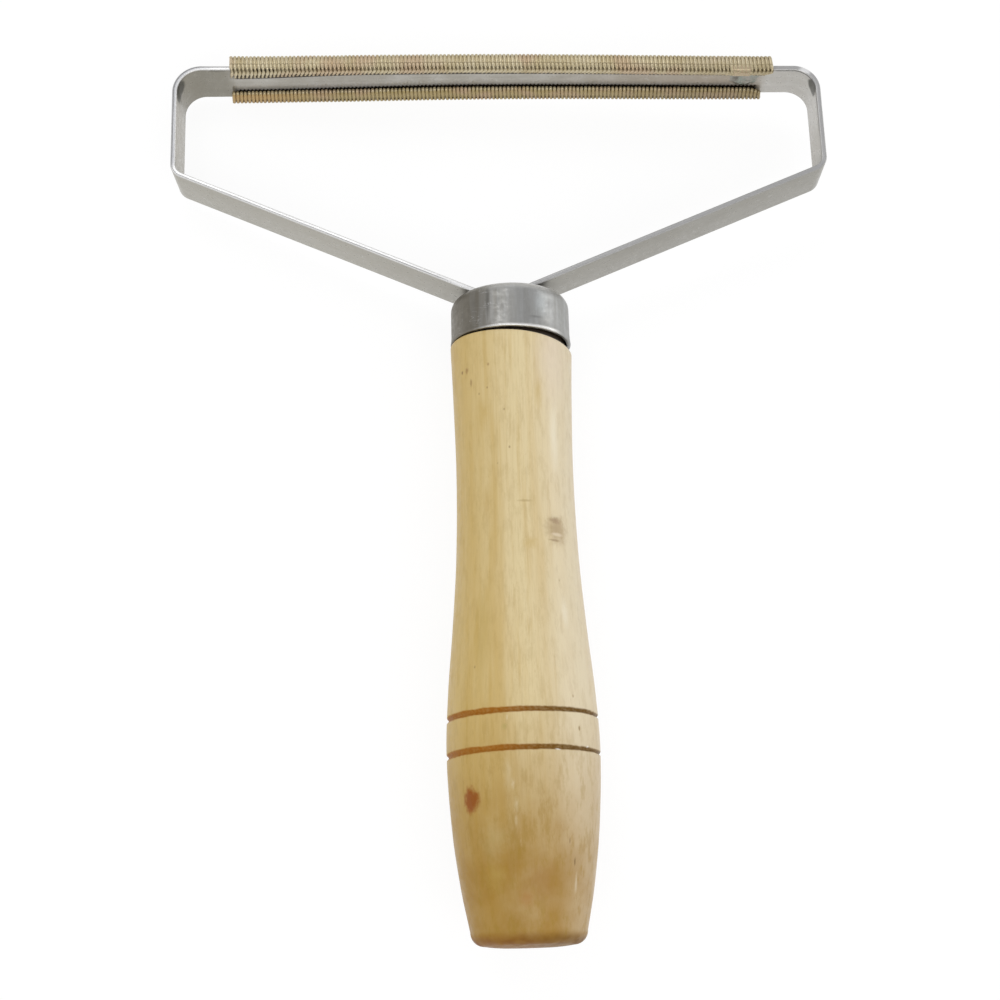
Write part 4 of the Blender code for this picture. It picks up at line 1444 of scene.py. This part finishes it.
@dataclass
class WoundWire(Piece):
    """The wire head: a coil flattened into two layers and folded over both edges of the strip.

    On its way round, the wire passes knots 0 to 9: the near lip's end, the near lip's corner (1, 2), the
    two corners over the top (3, 4 and 5, 6), the far lip's corner (7, 8) and the far lip's end.
    """

    name = "wound_wire"
    finish = DrawnBrass()
    on_head = True
    strap: BentStrap
    wire: float = 0.86
    sides: int = 8
    turns: int = 137
    near_span: Pair = (-63.7, 66.4)
    far_span: Pair = (-64.8, 64.8)
    near_end: tuple[Pair, ...] = ((-64.0, 3.75), (-59.0, 3.85), (-48.0, 4.5), (-31.0, 4.9),
                                  (-8.0, 5.1), (66.0, 4.95))
    far_end: tuple[Pair, ...] = ((-64.0, -2.6), (-46.0, -2.3), (-8.0, -1.9), (64.0, -1.9))
    far_lift: float = 0.03
    below: Pair = (-1.53, -1.16)
    above: Pair = (1.97, 1.78)
    deep: Pair = (7.22, 6.88)
    near_swell: float = 0.42
    fan: float = 0.0085
    corner: Pair = (0.42, 0.8)
    bulge: Pair = (0.1, 0.08)
    pinch: float = 0.2
    spread: float = 1.06
    far_ease: float = 0.4
    soaked: Pair = (56.4, 60.6)
    bulge_start: float = 5.0
    tip_span: Pair = (-64.25, 65.2)
    lean: float = 0.05
    slant: float = 0.07
    uncovered: Pair = (4.0, 11.0)
    jitter: float = 0.035
    ragged: float = 0.08
    last_turns: int = 4
    last_shift: Pair = (0.9, 1.6)
    seed: int = 11

    def lap(self, layer: Layer, near: float, far: float) -> tuple[np.ndarray, np.ndarray]:
        """One layer's way round the strip, from the near lip to the far one.

        Args:
            layer: Which layer.
            near: Depth at which the near lip's turn begins.
            far: Depth at which the far lip's turn begins.

        Returns:
            Points as height and depth, and for each its knot.
        """
        i = 0 if layer is Layer.OUTER else 1
        low, high, deep, bend = self.below[i], self.above[i], self.deep[i], self.corner[i]
        lifted = low - self.far_lift
        runs = [((low, near), (low, deep - bend), 4), ((low + bend, deep), (high - bend, deep), 6),
                ((high, deep - bend), (high, bend - deep), 3), ((high - bend, -deep), (low + bend, -deep), 3),
                ((low, bend - deep), (lifted, far), 6)]
        centres = [(low + bend, deep - bend), (high - bend, deep - bend), (high - bend, bend - deep),
                   (low + bend, bend - deep)]
        starts = [math.pi, 0.5 * math.pi, 0.0, -0.5 * math.pi]
        points: list[Pair] = []
        marks = [0]
        for k, (start, end, steps) in enumerate(runs):
            points += zip(spaced((start[0], end[0]), steps), spaced((start[1], end[1]), steps))
            marks.append(len(points) - 1)
            if k < len(centres):
                for turned in quarter_turn(4)[1:-1]:
                    angle = starts[k] - turned
                    points.append((centres[k][0] + bend * math.cos(angle),
                                   centres[k][1] + bend * math.sin(angle)))
                marks.append(len(points))
        line = np.array(points)
        off_middle = (line[:, 0] - (low + high) / 2) / ((high - low) / 2)
        share = np.clip((np.abs(line[:, 1]) - self.bulge_start) / (deep - self.bulge_start), 0.0, 1.0)
        line[:, 1] -= np.sign(line[:, 1]) * self.bulge[i] * off_middle ** 2 * share
        return line, np.interp(np.arange(len(line)), marks, np.arange(len(marks)))

    def shift(self, layer: Layer, knot: np.ndarray, turn: int, x: float) -> np.ndarray:
        """How far the wire strays along the head on its way round.

        The inner layer lies under the gaps of the outer one, but for the lips' ends, where the wire turns.

        Args:
            layer: Which layer.
            knot: Place on the way.
            turn: Which turn.
            x: Its place across the head.

        Returns:
            The shift at each point, in millimetres.
        """
        pitch = (self.near_span[1] - self.near_span[0]) / self.turns
        lean = self.lean * noise.noise(Vector((x / 12.0, 3.0, 0.0))) * 2.0
        slant = self.slant * (0.35 - 1.5 * noise.noise(Vector((x / 9.0, 8.0, 2.0))))
        knots = [0.0, 1.0, 2.0, 3.0, 6.0, 7.0, 9.0]
        if layer is Layer.OUTER:
            return np.interp(knot, knots, [-slant, 0.0, -lean, lean, lean, 0.0, 0.0])
        first, last = self.uncovered
        tucked = 0.5 + 0.5 * clip(turn - first) * clip(last - turn)
        shares = [1.0, tucked, tucked, 0.5, 0.5, 0.5, 0.0]
        cross = np.interp(knot, knots, [-slant, 0.0, lean, -lean, -lean, 0.0, 0.0])
        return pitch * np.interp(knot, [0.0, 0.6, 1.0, 2.0, 8.0, 8.6, 9.0], shares) + cross

    @staticmethod
    def tight(knot: np.ndarray) -> np.ndarray:
        """How sharply the wire is bent, where it draws thinner and painted shade lies beside it.

        Args:
            knot: Place on the way, for each point.

        Returns:
            The tightness at each, from 0 to 1.
        """
        places = [0.0, 0.3, 0.45, 0.9, 1.1, 1.65, 1.8, 2.9, 3.4, 4.0, 7.0, 8.0, 8.12, 8.3, 8.4, 8.7, 8.8, 9.0]
        shares = [1.0, 1.0, 0.0, 0.0, 1.0, 1.0, 0.0, 0.05, 0.3, 0.0, 0.1, 0.4, 1.0, 1.0, 0.1, 0.1, 0.4, 0.3]
        return np.interp(knot, places, shares)

    def tip(self, end: float, lift: float, inwards: bool) -> list[Pair]:
        """The half circle at a lip's end, from one layer to the other.

        Args:
            end: Depth of the lip's end at the wire's skin.
            lift: How far the lip stands off the strip.
            inwards: True at the far lip, where the way goes from the outer layer to the inner one.

        Returns:
            Points as height and depth.
        """
        middle = sum(self.below) / 2 - lift
        radius = (self.below[1] - self.below[0]) / 2
        sign = 1.0 if inwards else -1.0
        foot = self.tip_foot(end, inwards)
        points = []
        for k in range(1, 6):
            angle = math.pi * k / 6
            points.append((middle - sign * radius * math.cos(angle), foot + sign * radius * math.sin(angle)))
        return points

    def tip_foot(self, end: float, inwards: bool) -> float:
        """Depth at which a lip's half circle begins."""
        inset = self.wire / 2 + (self.below[1] - self.below[0]) / 2
        return end - inset if inwards else end + inset

    def places(self, turn: int, chance: random.Random) -> tuple[Triple, Pair, float]:
        """Where one turn passes.

        Args:
            turn: Which turn.
            chance: Where its small shifts come from.

        Returns:
            Its place across the head at the near lip's end, the near corner and the far lip, the depth of
            the two lips' ends, and how far it strays.
        """
        share = turn / (self.turns - 1)
        tip_x, near_x, far_x = (span[0] + self.wire / 2 + (span[1] - span[0] - self.wire) * share
                                for span in (self.tip_span, self.near_span, self.far_span))
        near = float(np.interp(near_x, *zip(*self.near_end))) + chance.uniform(-self.ragged, self.ragged)
        far = float(np.interp(far_x, *zip(*self.far_end))) + chance.uniform(-self.ragged, self.ragged)
        late = max(0.0, turn - (self.turns - 1 - self.last_turns)) / self.last_turns
        late_tip, late_far = self.last_shift
        tip_x -= late_tip * late * late
        far -= late_far * late * late
        return (tip_x, near_x, far_x), (near, far), chance.uniform(-self.jitter, self.jitter)

    def route(self) -> tuple[np.ndarray, np.ndarray, np.ndarray]:
        """The wire's whole centre line.

        Returns:
            Points in the head's axes; for each its height, depth and place off the bar; and for each its
            tightness of bend, turn and share of far lip.
        """
        chance = random.Random(self.seed)
        points: list[np.ndarray] = []
        notes: list[np.ndarray] = []
        for turn in range(self.turns):
            (tip_x, near_x, far_x), (near, far), stray = self.places(turn, chance)
            swell = 0.07 * noise.noise(Vector((near_x / 6.0, 0.0, 5.0)))
            raised = self.far_ease * float(np.interp(near_x, (-62.0, -35.0), (1.0, 0.0)))
            bare = 0.0 if self.soaked[0] < near_x < self.soaked[1] else 1.0
            # Share of painted shade on the far lip, less at its left end.
            far_shade = float(np.interp(near_x, (-58.0, -40.0), (0.35, 1.0)))
            raise_by = float(np.interp(near_x, (-50.0, -20.0), (0.0, 0.22)))
            for layer in Layer:
                outer = layer is Layer.OUTER
                line, knot = self.lap(layer, self.tip_foot(near, False), self.tip_foot(far, True))
                line[:, 1] += (swell + self.near_swell) * ((knot > 1.0) & (knot < 4.0))
                line[:, 1] += raised * ((knot > 5.0) & (knot < 8.0))
                x = np.interp(knot, [0.0, 1.0, 9.0], [tip_x, near_x, far_x])
                x += stray + self.shift(layer, knot, turn, near_x)
                x += self.fan * min(0.0, near_x) * np.interp(knot, [5.0, 7.0, 8.0, 9.0], [0.0, 1.0, 1.0, 0.0])
                if not outer:
                    line, knot, x = line[::-1], knot[::-1], x[::-1]
                    if turn == self.turns - 1:
                        break
                read_at = np.where((knot > 0.95) & (knot < 2.5), knot - raise_by, knot)
                # The tightness also sets the painted shade beside the bends: none where the solder soaked in.
                tight = self.tight(read_at) * np.where(knot < 4.0, bare, np.where(knot > 7.5, far_shade, 1.0))
                points.append(np.column_stack([x, line]))
                notes.append(np.column_stack([tight, np.full(len(x), turn), np.clip(knot - 6.5, 0.0, 1.0)]))
                bend = self.tip(far if outer else near, self.far_lift if outer else 0.0, outer)
                points.append(np.array([(x[-1], h, d) for h, d in bend]))
                ends = (0.25, turn, 0.25) if outer else (0.6 * bare, turn, 0.0)
                notes.append(np.array([ends] * len(bend)))
        flat = np.vstack(points)
        placed = np.array([self.strap.on_bar(x, h, d) for x, h, d in flat.tolist()])
        return placed, flat, np.vstack(notes)

    def mesh(self) -> bpy.types.Mesh:
        """Make the wire head as one tube.

        Returns:
            The mesh, with what the wire's colour follows as attributes.
        """
        line, flat, notes = self.route()
        along = np.gradient(line, axis=0)
        along /= np.linalg.norm(along, axis=1)[:, None]
        side = np.array([1.0, 0.0, 0.0]) - along * along[:, :1]
        side /= np.linalg.norm(side, axis=1)[:, None]
        up = np.cross(along, side)
        turns = np.array(angles_round(self.sides))
        half = (self.wire / 2 * (1.0 - self.pinch * notes[:, 0]))[:, None, None]
        sideways = (self.spread * np.cos(turns))[None, :, None] * side[:, None, :]
        skin = line[:, None, :] + half * (sideways + np.sin(turns)[None, :, None] * up[:, None, :])
        grid = np.arange(len(line) * self.sides).reshape(-1, self.sides)
        first, after = grid[:-1], grid[1:]
        quads = np.stack([first, np.roll(first, -1, 1), np.roll(after, -1, 1), after], axis=-1).reshape(-1, 4)
        mesh = bpy.data.meshes.new(self.name)
        mesh.from_pydata((skin.reshape(-1, 3) * MM).tolist(), [],
                         quads.tolist() + [grid[0][::-1].tolist(), grid[-1].tolist()])
        mesh.shade_smooth()
        facing = np.cos(turns)[None, :] ** 2
        for name, values, share in (("wire", notes, notes[:, :1]), ("fold", flat, 1.0 - notes[:, :1])):
            shown = np.repeat(values, self.sides, axis=0)
            shown[:, 0] = (share * facing).ravel()
            put_attribute(mesh, name, shown)
        return mesh


@dataclass
class SolderTack(Piece):
    """Thin ragged blob of solder on the strip's bare face, run up between the wires beside it."""

    name = "solder_blob"
    finish = SolderTin()
    on_head = True
    strap: BentStrap
    wires: WoundWire
    along: Pair = (56.3, 63.6)
    across: Pair = (-1.7, 7.3)
    fill: Pair = (56.4, 61.2)
    reach: Pair = (3.5, 3.3)
    middle_depth: float = 1.5
    columns: int = 40
    rows: int = 44
    smear: float = 0.28
    soak: float = 1.44
    soak_starts: float = 4.9
    soak_ease: float = 0.7
    sink: float = 0.05
    crown: float = 0.13
    collar_top: float = -0.1
    collar_base: float = -0.1
    collar_edge: float = 0.34

    def height(self, x: float, z: float) -> float:
        """Thickness of the solder at a place.

        Args:
            x: Place across the head.
            z: Depth across the strip.

        Returns:
            The thickness in millimetres, 0 outside the ragged outline.
        """
        grit = noise.noise(Vector((x * 0.9, z * 0.9, 2.0)))
        fine = noise.noise(Vector((x * 2.6, z * 2.6, 7.0)))
        off = math.hypot((x - sum(self.along) / 2) / self.reach[0], (z - self.middle_depth) / self.reach[1])
        low = self.smear * (0.75 + 0.5 * fine) * clip((1.0 - (off + 0.22 * grit)) / 0.3)
        side = clip((x - self.fill[0]) / self.soak_ease) * clip((self.fill[1] - x) / self.soak_ease)
        up = side * clip((z - self.soak_starts) / 0.5) * (0.95 + 0.15 * fine)
        return max(low, self.soak * up)

    def mesh(self) -> bpy.types.Mesh:
        """Make the blob.

        Returns:
            The mesh.
        """
        bm = bmesh.new()
        face = -self.strap.thick / 2
        skin, base = [], []
        for r, z in enumerate(spaced(self.across, self.rows)):
            top_row, base_row = [], []
            for c, x in enumerate(spaced(self.along, self.columns)):
                rim = r in (0, self.rows) or c in (0, self.columns)
                lift = 0.0 if rim else self.height(x, z)
                raised = self.sink if lift == 0.0 else -lift
                top_row.append(bm.verts.new(self.strap.on_bar(x, face + raised, z) * MM))
                base_row.append(bm.verts.new(self.strap.on_bar(x, face + 2 * self.sink, z) * MM))
            skin.append(top_row)
            base.append(base_row)
        self._close(bm, skin, base)
        self._close(bm, *self._collar(bm))
        return mesh_from_bmesh(self.name, bm, 60.0)

    def _collar_way(self) -> list[tuple[float, float, float, float]]:
        """Way that the solder takes between the wires: over the lip, round the corner and up the side.

        Returns:
            Points as height and depth, each with the direction out of the wires there.
        """
        lip, corner = self.wires.below[0], self.wires.corner[0]
        turn_depth = self.wires.deep[0] - corner + self.wires.near_swell
        way = [(lip, depth, -1.0, 0.0) for depth in spaced((self.soak_starts, turn_depth), 8)]
        way += [(lip + corner * (1 - math.cos(angle)), turn_depth + corner * math.sin(angle),
                 -math.cos(angle), math.sin(angle)) for angle in quarter_turn(6)[1:]]
        return way + [(height, turn_depth + corner, 0.0, 1.0)
                      for height in spaced((lip + corner, self.collar_top), 5)[1:]]

    def _collar(self, bm: BMesh) -> tuple[list[Ring], list[Ring]]:
        """Grids of the solder that stands between the wires.

        Args:
            bm: The mesh that is being built.

        Returns:
            The grid that shows, and the one under it.
        """
        way, crest = self._collar_way(), self.wires.wire / 2 - self.crown
        skin, base = [], []
        for r, (height, depth, out_height, out_depth) in enumerate(way):
            rows = ([], [])
            for c, x in enumerate(spaced(self.fill, self.columns)):
                ends = min(c, self.columns - c) / 5.0 + 0.5 * noise.noise(Vector((x * 2.0, r * 0.6, 4.0)))
                full = clip(ends) * min(1.0, (len(way) - 1 - r) / 3.0, (r + 1) / 2.0)
                for row, stand in zip(rows, (crest - self.collar_edge * (1.0 - full) ** 2, self.collar_base)):
                    point = self.strap.on_bar(x, height + out_height * stand, depth + out_depth * stand)
                    row.append(bm.verts.new(point * MM))
            skin.append(rows[0])
            base.append(rows[1])
        return skin, base

    def _close(self, bm: BMesh, skin: list[Ring], base: list[Ring]) -> None:
        """Make the faces of two grids and of the rim between them.

        Args:
            bm: The mesh that is being built.
            skin: The grid that shows.
            base: The grid under it.
        """
        for grid, way in ((skin, 1), (base, -1)):
            for low, high in zip(grid, grid[1:]):
                for c in range(self.columns):
                    bm.faces.new((low[c], low[c + 1], high[c + 1], high[c])[::way])
        upper, under = self._rim(skin), self._rim(base)
        for i in range(len(upper)):
            j = (i + 1) % len(upper)
            bm.faces.new((upper[i], upper[j], under[j], under[i]))

    @staticmethod
    def _rim(grid: list[Ring]) -> Ring:
        """Vertices round the edge of a grid, in order."""
        right, left = [row[-1] for row in grid[1:]], [row[0] for row in grid[1:-1]]
        return grid[0] + right + grid[-1][-2::-1] + left[::-1]


@dataclass(frozen=True)
class Softbox:
    """One plain area lamp, in metres."""

    name: str
    place: Triple
    size: Pair
    brightness: float
    colour: Colour = (1.0, 1.0, 1.0)

    def build(self, target: Vector) -> bpy.types.Object:
        """Hang the lamp so that it faces a point.

        Args:
            target: The point.

        Returns:
            The lamp's object.
        """
        lamp = bpy.data.lights.new(self.name, "AREA")
        lamp.shape = "RECTANGLE"
        lamp.size, lamp.size_y = self.size
        lamp.energy = self.brightness * math.pi * self.size[0] * self.size[1]
        lamp.color = self.colour
        hung = bpy.data.objects.new(self.name, lamp)
        bpy.context.scene.collection.objects.link(hung)
        hung.location = self.place
        hung.rotation_euler = (target - Vector(self.place)).to_track_quat("-Z", "Y").to_euler()
        return hung


@dataclass
class Studio:
    """White table, soft lamps and the camera of the photograph."""

    floor_reach: float = 3.0
    floor_sink: float = 0.0001
    floor_grey: float = 0.82
    white_share: float = 0.86
    camera_place: Triple = (-5.444, -7.826, 372.430)
    camera_turn: Triple = (15.895, 0.1546, -1.5844)
    lens: float = 61.566
    sensor: float = 36.0
    sky: Colour = (0.6, 0.6, 0.61)
    horizon: Colour = (0.78, 0.78, 0.78)
    lamps: tuple[Softbox, ...] = (
        Softbox("window_right", (0.95, 0.2, 0.27), (0.8, 0.35), 1.8, (1.0, 0.99, 0.98)),
        Softbox("panel_front", (0.05, -0.62, 0.82), (1.0, 0.45), 1.9),
        Softbox("panel_head", (-0.34, 0.58, 0.9), (0.52, 0.44), 2.2),
    )
    lamps_face: Triple = (0.0, 0.02, 0.02)

    def floor(self, effects: Effects) -> bpy.types.Object:
        """Make the table: white to the camera and in reflections, and keeping the tool's shadow.

        Args:
            effects: The shared effects.

        Returns:
            The table.
        """
        paint = Paint("white_table", effects, (0.0, 0.0, 0.0))
        rays = paint.node("ShaderNodeLightPath").outputs
        bounced = paint.maths("MAXIMUM", rays["Is Glossy Ray"], rays["Is Transmission Ray"], clamped=True)
        seen = paint.maths("MAXIMUM", rays["Is Camera Ray"], bounced, clamped=True)
        grey = {0: seen, 2: self.floor_grey, 3: 1.0 - self.white_share}
        own = paint.node("ShaderNodeMix", grey, data_type="FLOAT").outputs[0]
        inputs = paint.shader.inputs
        paint.feed(inputs["Base Color"], paint.times(own, paint.clouds((0.02, 2.0), (0.3, 0.7), (0.98, 1.0))))
        paint.feed(inputs["Emission Color"], paint.mix(seen, (0.0, 0.0, 0.0), (1.0, 1.0, 1.0)))
        inputs["Emission Strength"].default_value = self.white_share + 0.03
        inputs["Roughness"].default_value = 0.9
        inputs["Specular IOR Level"].default_value = 0.0
        mesh = bpy.data.meshes.new("white_table")
        reach = self.floor_reach
        corners = [(-reach, -reach, 0), (reach, -reach, 0), (reach, reach, 0), (-reach, reach, 0)]
        mesh.from_pydata(corners, [], [(0, 1, 2, 3)])
        sunk = Matrix.Translation((0.0, 0.0, -self.floor_sink))
        table = set_piece("white_table", mesh, sunk, paint.material)
        return table

    def world(self) -> None:
        """Fill the room with even light that is a little darker overhead."""
        room = bpy.data.worlds.new("studio_room")
        bpy.context.scene.world = room
        room.use_nodes = True
        sheet = NodeSheet(room.node_tree)
        up = sheet.split(sheet.node("ShaderNodeTexCoord").outputs["Generated"])[2]
        colour = sheet.mix(sheet.ramp(up, 0.0, 0.75), self.horizon, self.sky)
        sheet.feed(room.node_tree.nodes["Background"].inputs["Color"], colour)

    def camera(self, place: RestPlace) -> bpy.types.Object:
        """Set the camera over the butt, as the tool was photographed.

        Args:
            place: Where the tool lies.

        Returns:
            The camera's object.
        """
        lens = bpy.data.cameras.new("photo_camera")
        lens.lens, lens.sensor_width = self.lens, self.sensor
        lens.clip_start, lens.clip_end = 0.01, 20.0
        camera = bpy.data.objects.new("photo_camera", lens)
        bpy.context.scene.collection.objects.link(camera)
        turn = Euler([math.radians(a) for a in self.camera_turn], "XYZ").to_matrix().to_4x4()
        camera.matrix_world = place.tool() @ Matrix.Translation(Vector(self.camera_place) * MM) @ turn
        bpy.context.scene.camera = camera
        return camera

    def build(self, place: RestPlace, effects: Effects) -> None:
        """Make the floor, the light and the camera.

        Args:
            place: Where the tool lies.
            effects: The shared effects.
        """
        self.floor(effects)
        self.world()
        for lamp in self.lamps:
            lamp.build(Vector(self.lamps_face))
        self.camera(place)
        bpy.context.scene.view_settings.view_transform = "Standard"


@dataclass
class LintScraper:
    """The whole tool: its pieces in order."""

    handle: TurnedHandle = field(default_factory=TurnedHandle)
    ferrule: DrawnFerrule = field(default_factory=DrawnFerrule)
    strap: BentStrap = field(default_factory=BentStrap)

    def build(self, effects: Effects) -> None:
        """Make every piece, and let each stand for its CAD node.

        Args:
            effects: The shared effects.
        """
        wires = WoundWire(self.strap)
        rows = (
            (self.handle, "handle", "wood"),
            (self.ferrule, "ferrule", "ferrule_steel"),
            (self.strap, "strap_frame", "strip_steel"),
            (wires, "wire_coil", "brass_wire"),
            (SolderTack(self.strap, wires), "solder_tack", "solder"),
        )
        for part, node, slot in rows:
            piece = part.build(effects)
            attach(piece, "root")
            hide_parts(node)
            LOG.info("%s stands for %s: %d faces", piece.name, node, len(piece.data.polygons))


def main() -> None:
    """Build the tool and the studio."""
    logging.basicConfig(level=logging.INFO, format="%(name)s: %(message)s")
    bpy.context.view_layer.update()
    effects = Effects()
    LintScraper().build(effects)
    Studio().build(RestPlace(), effects)


if __name__ == "__main__":
    main()
